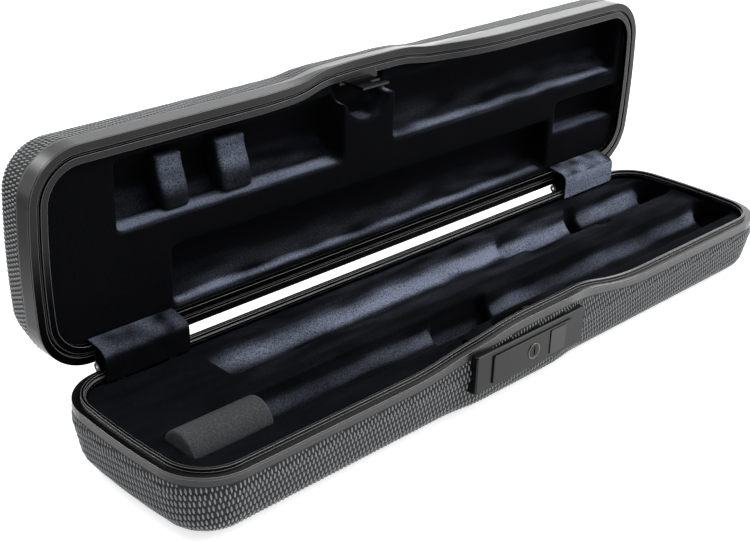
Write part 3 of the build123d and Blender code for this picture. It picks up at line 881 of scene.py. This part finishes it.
    def turned(self, tree: bpy.types.NodeTree, given: dict, normal: bpy.types.NodeSocket,
               run: bpy.types.Node) -> bpy.types.Node:
        """Turns each lens down the wall, with a lean.

        Args:
            tree: the relief tree.
            given: sockets of the group input, by name.
            normal: the shell's normal.
            run: the run of the rim.

        Returns:
            The node that gives the rotation.
        """
        across = add_node(tree, VECTOR_MATH, {"operation": "CROSS_PRODUCT"}, {0: normal, 1: run})
        down_wall = add_node(tree, VECTOR_MATH, {"operation": "NORMALIZE"}, {0: across})
        aside = add_node(tree, VECTOR_MATH, {"operation": "SCALE"}, {0: run, "Scale": given["Lean"]})
        leaning = add_node(tree, VECTOR_MATH, {"operation": "ADD"}, {0: down_wall, 1: aside})
        return add_node(tree, "FunctionNodeAxesToRotation",
                        {"primary_axis": "Z", "secondary_axis": "X"}, {0: normal, 1: leaning})

    def tree(self) -> tuple[bpy.types.NodeTree, dict[str, str]]:
        """Node tree that lays the lenses in drifting columns round the tray.

        Returns:
            The tree, and the identifier of each input by name.
        """
        tree = bpy.data.node_groups.new(f"{self.side.value}_relief_tree", "GeometryNodeTree")
        given, keys = self.inputs(tree)
        shapes = {}
        for name in ("Rim", "Wall", "Shell"):
            info = add_node(tree, "GeometryNodeObjectInfo", links={"Object": given[name]})
            shapes[name] = info.outputs["Geometry"]
        points, stored = self.laid_out(tree, given, shapes)
        wanted = add_node(tree, "GeometryNodeDeleteGeometry", {"domain": "POINT"}, {
            "Geometry": points, "Selection": self.dropped(tree, stored["share"])})
        moved, normal = self.settled(tree, wanted, shapes["Shell"], stored["outside"])
        cut = add_node(tree, "ShaderNodeCombineXYZ", links={0: stored["share"], 1: 1.0, 2: 1.0})
        size = add_node(tree, VECTOR_MATH, {"operation": "MULTIPLY"}, {0: given["Lens"], 1: cut})
        placed = add_node(tree, "GeometryNodeInstanceOnPoints", links={
            "Points": moved, "Instance": self.lens(tree), "Scale": size,
            "Rotation": self.turned(tree, given, normal, stored["run"])})
        real = add_node(tree, "GeometryNodeRealizeInstances", links={0: placed})
        soft = add_node(tree, "GeometryNodeSetShadeSmooth", links={0: real})
        dressed = add_node(tree, "GeometryNodeSetMaterial", links={
            "Geometry": soft, "Material": given["Finish"]})
        add_node(tree, "NodeGroupOutput", links={0: dressed})
        return tree, keys

    def build(self, finish: bpy.types.Material) -> bpy.types.Object:
        """Builds the relief of one tray.

        Args:
            finish: the plastic of the shell.

        Returns:
            The finished piece, riding on its tray.
        """
        line = self.perimeter()
        section = [Vector((p.x, p.y, 0.0)) for p in FORM.section(self.side)]
        rim = self.guide(f"{self.side.value}_rim_guide", line, True)
        wall = self.guide(f"{self.side.value}_wall_guide", section, False)
        around = sum((line[(i + 1) % len(line)] - p).length for i, p in enumerate(line))
        # An even number, so that the half step between neighbouring columns closes round the case
        columns = 2 * round(around / self.column / 2)
        span = sum((b - a).length for a, b in zip(section, section[1:]))
        tree, keys = self.tree()
        piece = new_object(f"{self.side.value}_relief", bpy.data.meshes.new(f"{self.side.value}_relief"))
        modifier = piece.modifiers.new("relief", "NODES")
        modifier.node_group = tree
        sizes = (self.lens_length / 2 * MM, self.lens_width / 2 * MM, self.lens_height * MM)
        depth_way = (0.0, 0.0, -1.0) if self.side is Side.BASE else (0.0, 1.0, 0.0)
        band = FORM.smooth_rim(self.side) - section[0].y
        values = {"Rim": rim, "Wall": wall, "Shell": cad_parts[f"{self.side.value}_shell"],
                  "Columns": columns, "Rows": math.ceil(span / self.row) + 1, "Row pitch": self.row * MM,
                  "Drift": self.drift / columns, "Lean": -self.lean, "Round": around * MM,
                  "Band": band * MM, "Foot": (span - self.foot) * MM,
                  "Lens": sizes, "Depth way": depth_way, "Finish": finish}
        for name, value in values.items():
            modifier[keys[name]] = value
        baked(piece)
        for attribute in ("run", "share", "outside"):
            stored = piece.data.attributes.get(attribute)
            if stored:
                piece.data.attributes.remove(stored)
        for guide in (rim, wall):
            bpy.data.objects.remove(guide)
        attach(piece, self.side.value)
        log.info("%s relief: %d columns, %d faces", self.side.value, columns, len(piece.data.polygons))
        return piece


@dataclass
class SoftLining:
    """Velvet-covered pieces, softened from their solids.

    Lengths are in millimetres. A light is the way that the painted sheen of a piece faces, and narrow
    is the cosine at which that painted sheen has died out.
    """

    velvet: bpy.types.Material
    voxel: float = 1.5
    softening: int = 8
    ripple: float = 17.0
    ripple_depth: float = 0.5
    ripple_bias: float = 0.35
    sheen_cell: tuple[float, float, float] = (24.0, 6.0, 6.0)
    sheen_turn: float = 0.025
    sheen_swing: float = 0.25
    haze: float = 0.05
    haze_spread: float = 0.7
    haze_swing: float = 2.0
    recess_start: float = 0.8
    recess_full: float = 4.5
    base_light: tuple[float, float, float] = (0.1, -0.76, 0.64)
    rear_narrow: float = 0.86
    front_narrow: float = 0.92
    row_split_y: float = 3.0
    lid_light: tuple[float, float, float] = (0.0, -0.05, 1.0)
    lid_narrow: float = 0.93
    row_split_z: float = 88.0
    pad_voxel: float = 0.9
    pad_softening: int = 26
    pad_lean: float = 5.5
    pad_lean_from: float = 92.0
    pad_lean_to: float = 122.0
    pad_sink_from: float = 104.0
    pad_sink: float = 0.38
    pad_light: tuple[float, float, float] = (0.0, -0.72, 0.7)
    pad_narrow: float = 0.35
    pad_glow: float = 0.5
    pad_glow_from: float = 90.0
    pad_glow_to: float = 116.0
    pad_recess: float = 5.0
    # How bright the painted sheen gets along each row: place from the middle in mm, and strength
    rear_glow: tuple[tuple[float, float], ...] = (
        (-137, 0.1), (-122, 0.4), (-60, 0.6), (20, 1.0), (62, 1.0), (70, 0.55), (92, 0.95), (124, 0.85),
        (133, 0.2), (150, 0.4), (178, 0.6), (194, 0.5), (200, 0.1))
    front_glow: tuple[tuple[float, float], ...] = (
        (-150, 0.1), (-110, 0.13), (-60, 0.2), (-34, 0.3), (-28, 0.12), (2, 0.1), (14, 0.25), (28, 0.3),
        (52, 0.1), (85, 0.12), (108, 0.3), (124, 0.25), (150, 0.12), (182, 0.25), (196, 0.6), (200, 0.1))
    upper_glow: tuple[tuple[float, float], ...] = (
        (-165, 0.8), (-140, 1.0), (-80, 0.7), (-35, 0.9), (-20, 0.2), (10, 0.7), (100, 0.8), (150, 0.6),
        (200, 0.7))
    lower_glow: tuple[tuple[float, float], ...] = (
        (-137, 0.7), (-100, 0.9), (0, 0.8), (90, 0.7), (137, 0.3))

    def unevenness(self, piece: bpy.types.Object, seed: float) -> None:
        """Gives a piece the slight hollows and ripples of glued cloth.

        Args:
            piece: the piece to work on.
            seed: place in the noise, so that each piece differs.
        """
        places, normals = coordinates(piece), vertex_normals(piece)
        start = Vector((seed, 0, 0))
        swing = np.array([noise.noise(Vector(p) / (self.ripple * MM) + start) for p in places])
        dip = (swing - self.ripple_bias)[:, None] * self.ripple_depth * MM
        set_coordinates(piece, places + normals * dip)

    def paint_sheen(self, piece: bpy.types.Object, way: tuple[float, float, float], narrow: np.ndarray | float,
             recess: np.ndarray, strength: np.ndarray | float = 1.0) -> None:
        """Stores the painted sheen of each point: how far its colour is lightened, facing the light way.

        Args:
            piece: the piece to work on.
            way: way that the painted sheen faces.
            narrow: cosine at which the glow has died out, in all or at each point.
            recess: depth of each point below the flat land, in millimetres.
            strength: how bright the painted sheen gets, in all or at each point.
        """
        # Painted sheen: lighter where the normal faces the light way and lies in a recess, with a soft haze
        # round it
        unit = np.array(way) / np.linalg.norm(way)
        places = coordinates(piece) / MM / np.array(self.sheen_cell)
        swing = np.array([noise.noise(Vector(p)) for p in places])
        facing = vertex_normals(piece) @ unit + self.sheen_turn * swing
        glow = rise_between(facing, narrow, 1.0) * (1.0 + self.sheen_swing * swing)
        spread = rise_between(facing, narrow - self.haze_spread, 0.8)
        haze = self.haze * spread * (1.0 + self.haze_swing * swing)
        painted_sheen = strength * (glow * rise_between(recess, self.recess_start, self.recess_full) + haze)
        store_painted_sheen(piece, np.clip(painted_sheen, 0.0, 2.0))

    def dress(self, piece: bpy.types.Object, body: str, node: str) -> bpy.types.Object:
        """Gives a piece its velvet and its place on a body.

        Args:
            piece: the piece to dress.
            body: the body that it rides on.
            node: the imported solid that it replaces.

        Returns:
            The same piece.
        """
        piece.data.materials.clear()
        piece.data.materials.append(self.velvet)
        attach(piece, body)
        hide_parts(node)
        log.info("%s: %d faces", piece.name, len(piece.data.polygons))
        return piece

    def base(self) -> bpy.types.Object:
        """Builds the liner of the base, with painted sheen set row by row for its rear and front channels.

        Returns:
            The finished piece.
        """
        piece = softened("base_liner", "velvet_base_liner", self.voxel, self.softening)
        self.unevenness(piece, seed=3.0)
        x, y, z = (coordinates(piece) / MM).T
        rear = np.interp(x, *zip(*self.rear_glow))
        front = np.interp(x, *zip(*self.front_glow))
        behind = y > self.row_split_y
        self.paint_sheen(piece, self.base_light, np.where(behind, self.rear_narrow, self.front_narrow),
                  FORM.base_land - z, np.where(behind, rear, front))
        self.dress(piece, "base", "base_liner")
        return piece

    def lid(self) -> bpy.types.Object:
        """Builds the liner of the lid, with painted sheen set row by row for its upper and lower recesses.

        Returns:
            The finished piece.
        """
        piece = softened("lid_liner", "velvet_lid_liner", self.voxel, self.softening)
        self.unevenness(piece, seed=11.0)
        x, y, z = (coordinates(piece) / MM).T
        upper = np.interp(x, *zip(*self.upper_glow))
        lower = np.interp(x, *zip(*self.lower_glow))
        self.paint_sheen(piece, self.lid_light, self.lid_narrow, y - FORM.lid_land,
                  np.where(z > self.row_split_z, upper, lower))
        self.dress(piece, "lid", "lid_liner")
        return piece

    def pads(self) -> bpy.types.Object:
        """Builds the two saddle pads that bear on the joints of the flute.

        Returns:
            The finished piece.
        """
        piece = softened("saddle_pads", "velvet_saddle_pads", self.pad_voxel, self.pad_softening)
        places = coordinates(piece)
        lean = rise_between(places[:, 2], self.pad_lean_from * MM, self.pad_lean_to * MM)
        places[:, 1] += self.pad_lean * MM * lean
        places[:, 2] -= np.maximum(places[:, 2] - self.pad_sink_from * MM, 0) * self.pad_sink
        set_coordinates(piece, places)
        height = rise_between(places[:, 2] / MM, self.pad_glow_from, self.pad_glow_to)
        self.paint_sheen(piece, self.pad_light, self.pad_narrow, self.pad_recess * height, self.pad_glow)
        self.dress(piece, "lid", "saddle_pads")
        return piece


@dataclass
class HingeFlap:
    """Velvet strip that covers one hinge, from the base to the lid."""

    side: str
    x: float
    velvet: bpy.types.Material
    top_glow: float
    face_glow: float = 0.0
    width: float = 46.0
    thickness: float = 1.0
    edge: float = 0.4
    pucker: float = 0.55
    pucker_waves: tuple[float, float] = (5.0, 2.5)
    pucker_cell: float = 9.0
    pucker_glow: float = 1.5
    light: tuple[float, float, float] = (0.0, -0.35, 0.93)
    rounding_passes: int = 4
    steps: int = 40
    across: int = 36
    path: list[tuple[float, float]] = field(default_factory=lambda: [
        (44.2, 30.5), (44.2, 36.0), (44.2, 40.5), (44.7, 43.4), (47.1, 45.1), (52.0, 45.9), (57.5, 46.5)])

    def surface(self) -> tuple[list[Vector], list[list[int]], float]:
        """Lays the strip as a grid along its bent line, puckered between its glued ends.

        Returns:
            Points, faces, and the length of the line, in millimetres.
        """
        line = [Vector((0.0, y, z)) for y, z in self.path]
        knots = np.cumsum([0.0] + [(b - a).length for a, b in zip(line, line[1:])])
        ways = np.linspace(0, knots[-1], self.steps + 1)
        ys = np.interp(ways, knots, [p.y for p in line])
        zs = np.interp(ways, knots, [p.z for p in line])
        for _ in range(self.rounding_passes):
            ys[1:-1] = (ys[:-2] + 2 * ys[1:-1] + ys[2:]) / 4
            zs[1:-1] = (zs[:-2] + 2 * zs[1:-1] + zs[2:]) / 4
        points, faces = [], []
        for i in range(self.steps + 1):
            before, after = max(i - 1, 0), min(i + 1, self.steps)
            run = Vector((0.0, ys[after] - ys[before], zs[after] - zs[before])).normalized()
            out = Vector((0.0, -run.z, run.y))
            free = math.sin(math.pi * i / self.steps)
            for j in range(self.across + 1):
                u = j / self.across - 0.5
                over, along = self.pucker_waves
                ripple = noise.noise(Vector((u * over + self.x, i / self.steps * along, 0.0)))
                place = Vector((self.x + u * self.width, ys[i], zs[i]))
                points.append(place + out * ripple * self.pucker * free)
        for i in range(self.steps):
            for j in range(self.across):
                a = i * (self.across + 1) + j
                faces.append([a, a + 1, a + self.across + 2, a + self.across + 1])
        return points, faces, float(knots[-1])

    def paint_sheen(self, piece: bpy.types.Object) -> None:
        """Stores the painted sheen of each point, lighter where it faces the light way.

        Args:
            piece: the strip, with its thickness.
        """
        normals = vertex_normals(piece)
        swing = np.array([noise.noise(Vector(p) / (self.pucker_cell * MM)) for p in coordinates(piece)])
        # Painted sheen: lighter where the strip faces the light way, and on its front face where face_glow
        # is set
        painted_sheen = rise_between(normals @ np.array(self.light), 0.45, 1.0)
        painted_sheen *= self.top_glow * (1.0 + self.pucker_glow * swing)
        if self.face_glow:
            painted_sheen = np.maximum(painted_sheen, self.face_glow * rise_between(-normals[:, 1], 0.6, 1.0))
        store_painted_sheen(piece, painted_sheen)

    def build(self) -> bpy.types.Object:
        """Builds the strip with its thickness and rounded edges.

        Returns:
            The finished piece, running from the base to the lid.
        """
        points, faces, flat = self.surface()
        piece = mesh_object(f"velvet_{self.side}_hinge_flap", points, faces)
        thick = piece.modifiers.new("thickness", "SOLIDIFY")
        thick.thickness = self.thickness * MM
        thick.offset = 0.0
        round_edge = piece.modifiers.new("edge", "BEVEL")
        round_edge.width = self.edge * MM
        round_edge.segments = 3
        round_edge.angle_limit = math.radians(50)
        smooth(baked(piece))
        self.paint_sheen(piece)
        piece.data.materials.append(self.velvet)
        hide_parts(f"{self.side}_hinge_flap")
        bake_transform(piece)
        log.info("%s flap: %d faces", self.side, len(piece.data.polygons))
        return piece


@dataclass
class FoamPlug:
    """Loose foam plug at the left end of the short channel."""

    finish: bpy.types.Material
    voxel: float = 0.7
    softening: int = 3

    def build(self) -> bpy.types.Object:
        """Builds the plug, a little slack at its cut edges.

        Returns:
            The finished piece.
        """
        piece = softened("spacer_foam", "foam_spacer", self.voxel, self.softening)
        piece.data.materials.append(self.finish)
        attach(piece, "base")
        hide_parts("spacer_foam")
        log.info("foam: %d faces", len(piece.data.polygons))
        return piece


@dataclass
class HardParts:
    """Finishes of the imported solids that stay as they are."""

    finishes: dict[str, bpy.types.Material]
    nodes: dict[str, list[str]] = field(default_factory=lambda: {
        "base_shell": ["base_shell"],
        "lid_shell": ["lid_shell"],
        "base_trim": ["base_frame"],
        "lid_trim": ["lid_frame"],
        "hinge": ["left_base_leaf", "right_base_leaf", "left_lid_leaf", "right_lid_leaf"],
        "steel": ["left_hinge_pin", "right_hinge_pin", "base_rivets", "lid_rivets", "latch_screws",
                  "neck_clip", "lock_cam", "cam_screw", "latch_back_plate"],
        "striker": ["striker", "striker_rivets", "slide_hook"],
        "latch_plate": ["latch_plate"],
        "latch_panel": ["slide_button"],
        "badge": ["badge_plate"],
        "chrome": ["lock_bezel"],
        "barrel": ["lock_core"],
    })

    def dress(self) -> None:
        """Assigns each finish to its nodes."""
        for finish, names in self.nodes.items():
            for name in names:
                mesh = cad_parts[name].data
                mesh.materials.clear()
                mesh.materials.append(self.finishes[finish])
            log.info("%s: %s", finish, ", ".join(names))


@dataclass(frozen=True)
class SoftBox:
    """Rectangular area lamp: place, target and size in metres, power in watts."""

    name: str
    place: tuple[float, float, float]
    target: tuple[float, float, float]
    size: tuple[float, float]
    power: float

    def build(self) -> None:
        """Adds the lamp to the scene, turned to its target."""
        data = bpy.data.lights.new(self.name, "AREA")
        data.shape = "RECTANGLE"
        data.size, data.size_y = self.size
        data.energy = self.power
        made = new_object(self.name, data)
        made.location = self.place
        made.rotation_mode = "QUATERNION"
        made.rotation_quaternion = (Vector(self.target) - Vector(self.place)).to_track_quat("-Z", "Y")


@dataclass
class Studio:
    """White sweep, soft lamps and the camera of the photograph."""

    focal_px: float = 1335.464
    azimuth: float = -45.543
    elevation: float = 25.71
    roll: float = 2.05
    place_mm: tuple[float, float, float] = (-464.44, -392.79, 333.19)
    left_light: float = 0.3
    right_light: float = 0.8
    back_light: float = 0.5
    horizon_gain: float = 1.9
    floor_reach: float = 3.0
    floor_tone: float = 0.8
    floor_glow: float = 0.7
    # Painted reflection: the floor as reflections see it, darker to the left and glowing to the right
    mirrored_tone: tuple[float, float] = (0.25, 0.55)
    mirrored_glow: float = 0.9
    soft_boxes: tuple[SoftBox, ...] = (
        SoftBox("back_soft_box", (1.5, 1.0, 0.45), (0.1, 0, 0.12), (0.9, 0.6), 2.5),
        SoftBox("top_soft_box", (0.35, -0.2, 1.5), (0, 0, 0), (1.2, 1.2), 12.0),
        SoftBox("side_soft_box", (1.2, -0.9, 0.9), (0, 0, 0.05), (0.9, 0.9), 12.0),
        SoftBox("rim_soft_box", (-0.6, 1.1, 1.1), (0, 0, 0.05), (0.6, 0.6), 8.0),
    )

    def camera(self) -> None:
        """Sets the camera where the photograph was taken from."""
        a, e, r = (math.radians(v) for v in (self.azimuth, self.elevation, self.roll))
        back = Vector((math.sin(a) * math.cos(e), -math.cos(a) * math.cos(e), math.sin(e)))
        right = Vector((0, 0, 1)).cross(back).normalized()
        up = back.cross(right)
        turned_right = math.cos(r) * right + math.sin(r) * up
        turned_up = -math.sin(r) * right + math.cos(r) * up
        data = bpy.data.cameras.new("camera")
        data.sensor_width = SENSOR_WIDTH
        data.lens = self.focal_px * SENSOR_WIDTH / PHOTO_WIDTH
        data.clip_end = 20.0
        data.clip_start = 0.01
        made = new_object("camera", data)
        axes = Matrix((turned_right, turned_up, back)).transposed().to_4x4()
        made.matrix_world = Matrix.Translation(Vector(self.place_mm) * MM) @ axes
        bpy.context.scene.camera = made

    def world(self) -> None:
        """White to the camera, and a soft light for the object, stronger from the right and the back."""
        made = bpy.data.worlds.new("studio")
        bpy.context.scene.world = made
        made.use_nodes = True
        tree = made.node_tree
        way = add_node(tree, "ShaderNodeTexCoord").outputs["Generated"]
        across, along, height = add_node(tree, SPLIT, links={0: way}).outputs
        sideways = add_node(tree, MAP_RANGE, links={
            "Value": across, "From Min": -0.8, "From Max": 0.8,
            "To Min": self.left_light, "To Max": self.right_light})
        behind = add_node(tree, MAP_RANGE, {"interpolation_type": "SMOOTHSTEP"}, {
            "Value": along, "From Min": 0.1, "From Max": 0.9, "To Min": 0.0, "To Max": self.back_light})
        low = add_node(tree, MAP_RANGE, {"interpolation_type": "SMOOTHSTEP"}, {
            "Value": height, "From Min": 0.1, "From Max": 0.5, "To Min": self.horizon_gain, "To Max": 1.0})
        light = add_node(tree, MATH, {"operation": "MULTIPLY_ADD"}, {0: behind, 1: low, 2: sideways})
        camera = add_node(tree, "ShaderNodeLightPath").outputs["Is Camera Ray"]
        strength = add_node(tree, "ShaderNodeMix", {"data_type": "FLOAT"}, {
            "Factor": camera, "A": light, "B": 1.0})
        feed(tree, tree.nodes["Background"], {
            "Color": (1.0, 1.0, 1.0, 1.0), "Strength": strength.outputs["Result"]})

    def floor(self) -> None:
        """Pale floor that runs to white and keeps the shadow of the case."""
        size = self.floor_reach / MM
        corners = [(-size, -size, 0), (size, -size, 0), (size, size, 0), (-size, size, 0)]
        made = mesh_object("floor", corners, [[0, 1, 2, 3]])
        paint, tree, shader, place = new_finish("white_sweep")
        path = add_node(tree, "ShaderNodeLightPath").outputs
        parts = add_node(tree, SPLIT, links={0: place}).outputs
        # Painted reflection: glossy rays see the floor darker to the left and glowing to the right
        across = add_node(tree, MATH, {"operation": "MULTIPLY_ADD"}, {0: parts[1], 1: -0.5, 2: parts[0]})
        right = add_node(tree, MAP_RANGE, {"interpolation_type": "SMOOTHSTEP"}, {
            "Value": across, "From Min": -0.5, "From Max": -0.12})
        dark, gain = self.mirrored_tone
        dim = add_node(tree, MATH, {"operation": "MULTIPLY_ADD"}, {0: right, 1: gain, 2: dark})
        tone = add_node(tree, "ShaderNodeMix", {"data_type": "FLOAT"}, {
            "Factor": path["Is Glossy Ray"], "A": self.floor_tone, "B": dim})
        seen = add_node(tree, MATH, {"operation": "MULTIPLY"}, {
            0: path["Is Camera Ray"], 1: self.floor_glow})
        glow = add_node(tree, MATH, {"operation": "MULTIPLY"}, {0: right, 1: self.mirrored_glow})
        mirrored = add_node(tree, MATH, {"operation": "MULTIPLY"}, {0: path["Is Glossy Ray"], 1: glow})
        emitted = add_node(tree, MATH, {"operation": "ADD"}, {0: seen, 1: mirrored})
        feed(tree, shader, {
            "Base Color": tone.outputs["Result"], "Roughness": 0.9, "Specular IOR Level": 0.1,
            "Emission Color": (1.0, 1.0, 1.0, 1.0), "Emission Strength": emitted})
        made.data.materials.append(paint)

    def build(self) -> None:
        """Builds the whole set."""
        self.camera()
        self.world()
        self.floor()
        for box in self.soft_boxes:
            box.build()
        bpy.context.scene.view_settings.view_transform = "Standard"


def finishes() -> dict[str, bpy.types.Material]:
    """Builds the hard finishes.

    Returns:
        The materials, by the names that HardParts uses, and the relief's.
    """
    # Trays: the field's colour paints the field under the relief darker, as painted shade between the
    # lenses
    tray = {"gloss": 0.22, "lacquer": 0.38, "field_shade_colour": "#050506"}
    rail = {"colour": "#030304", "roughness": 0.25, "edge_mm": 0.42, "grain_depth": 0.05,
            "edge_highlight": "#8c8c8c"}
    made = {
        # Trays: the coat gives the smooth band its soft sheen, and the field under the relief is dull
        "base_shell": MouldedPlastic("black_abs_base_shell", **tray),
        "lid_shell": MouldedPlastic("black_abs_lid_shell", side=Side.LID, **tray),
        # Relief lenses: black plastic, painted light grey as a painted highlight from the lamps above
        "relief": MouldedPlastic("black_abs_relief_painted_highlight", colour="#76787c", edge_mm=0.05, lacquer=0.6),
        # Rails: deep black, with painted highlights on the edges that draw the thin lines round the opening
        "base_trim": MouldedPlastic("black_abs_base_frame", gloss=0.5, **rail),
        "lid_trim": MouldedPlastic("black_abs_lid_frame", gloss=0.2, **rail),
        # Latch: enamelled black, a shade lighter from plate to panel, and the badge place glossier
        "latch_plate": StovedEnamel("black_enamel_latch_plate"),
        "latch_panel": StovedEnamel("black_enamel_latch_panel", colour="#090908"),
        "badge": MouldedPlastic("black_badge", colour="#0e0f0f", roughness=0.25, gloss=0.32, edge_mm=0.15),
        # Metal: hinges, striker and barrel are dark, the ring is polished, and the fasteners are bright
        "hinge": PlatedMetal("black_plated_hinge", colour="#2a2b2d", roughness=0.35),
        "steel": PlatedMetal("zinc_plated_steel"),
        "striker": PlatedMetal("black_plated_striker", colour="#2c2c2c", roughness=0.3),
        "chrome": PlatedMetal("chromed_lock_ring", colour="#5c5c59", roughness=0.15),
        "barrel": PlatedMetal("dark_lock_barrel", colour="#232321", roughness=0.2),
    }
    return {name: finish.material() for name, finish in made.items()}


def main() -> None:
    """Builds the set, the hard finishes and the soft pieces, in that order."""
    logging.basicConfig(level=logging.INFO, format="%(name)s: %(message)s")
    Studio().build()
    hard = finishes()
    HardParts(hard).dress()
    for side in Side:
        Relief(side).build(hard["relief"])
    velvet = Velvet().material()
    lining = SoftLining(velvet)
    lining.base()
    lining.lid()
    lining.pads()
    # Painted sheen: the right flap's velvet is drawn lighter than the left's, on its top and its face
    HingeFlap("left", -FORM.hinge_x, velvet, top_glow=0.17).build()
    HingeFlap("right", FORM.hinge_x, velvet, top_glow=0.4, face_glow=0.75).build()
    FoamPlug(OpenCellFoam().material()).build()


if __name__ == "__main__":
    main()
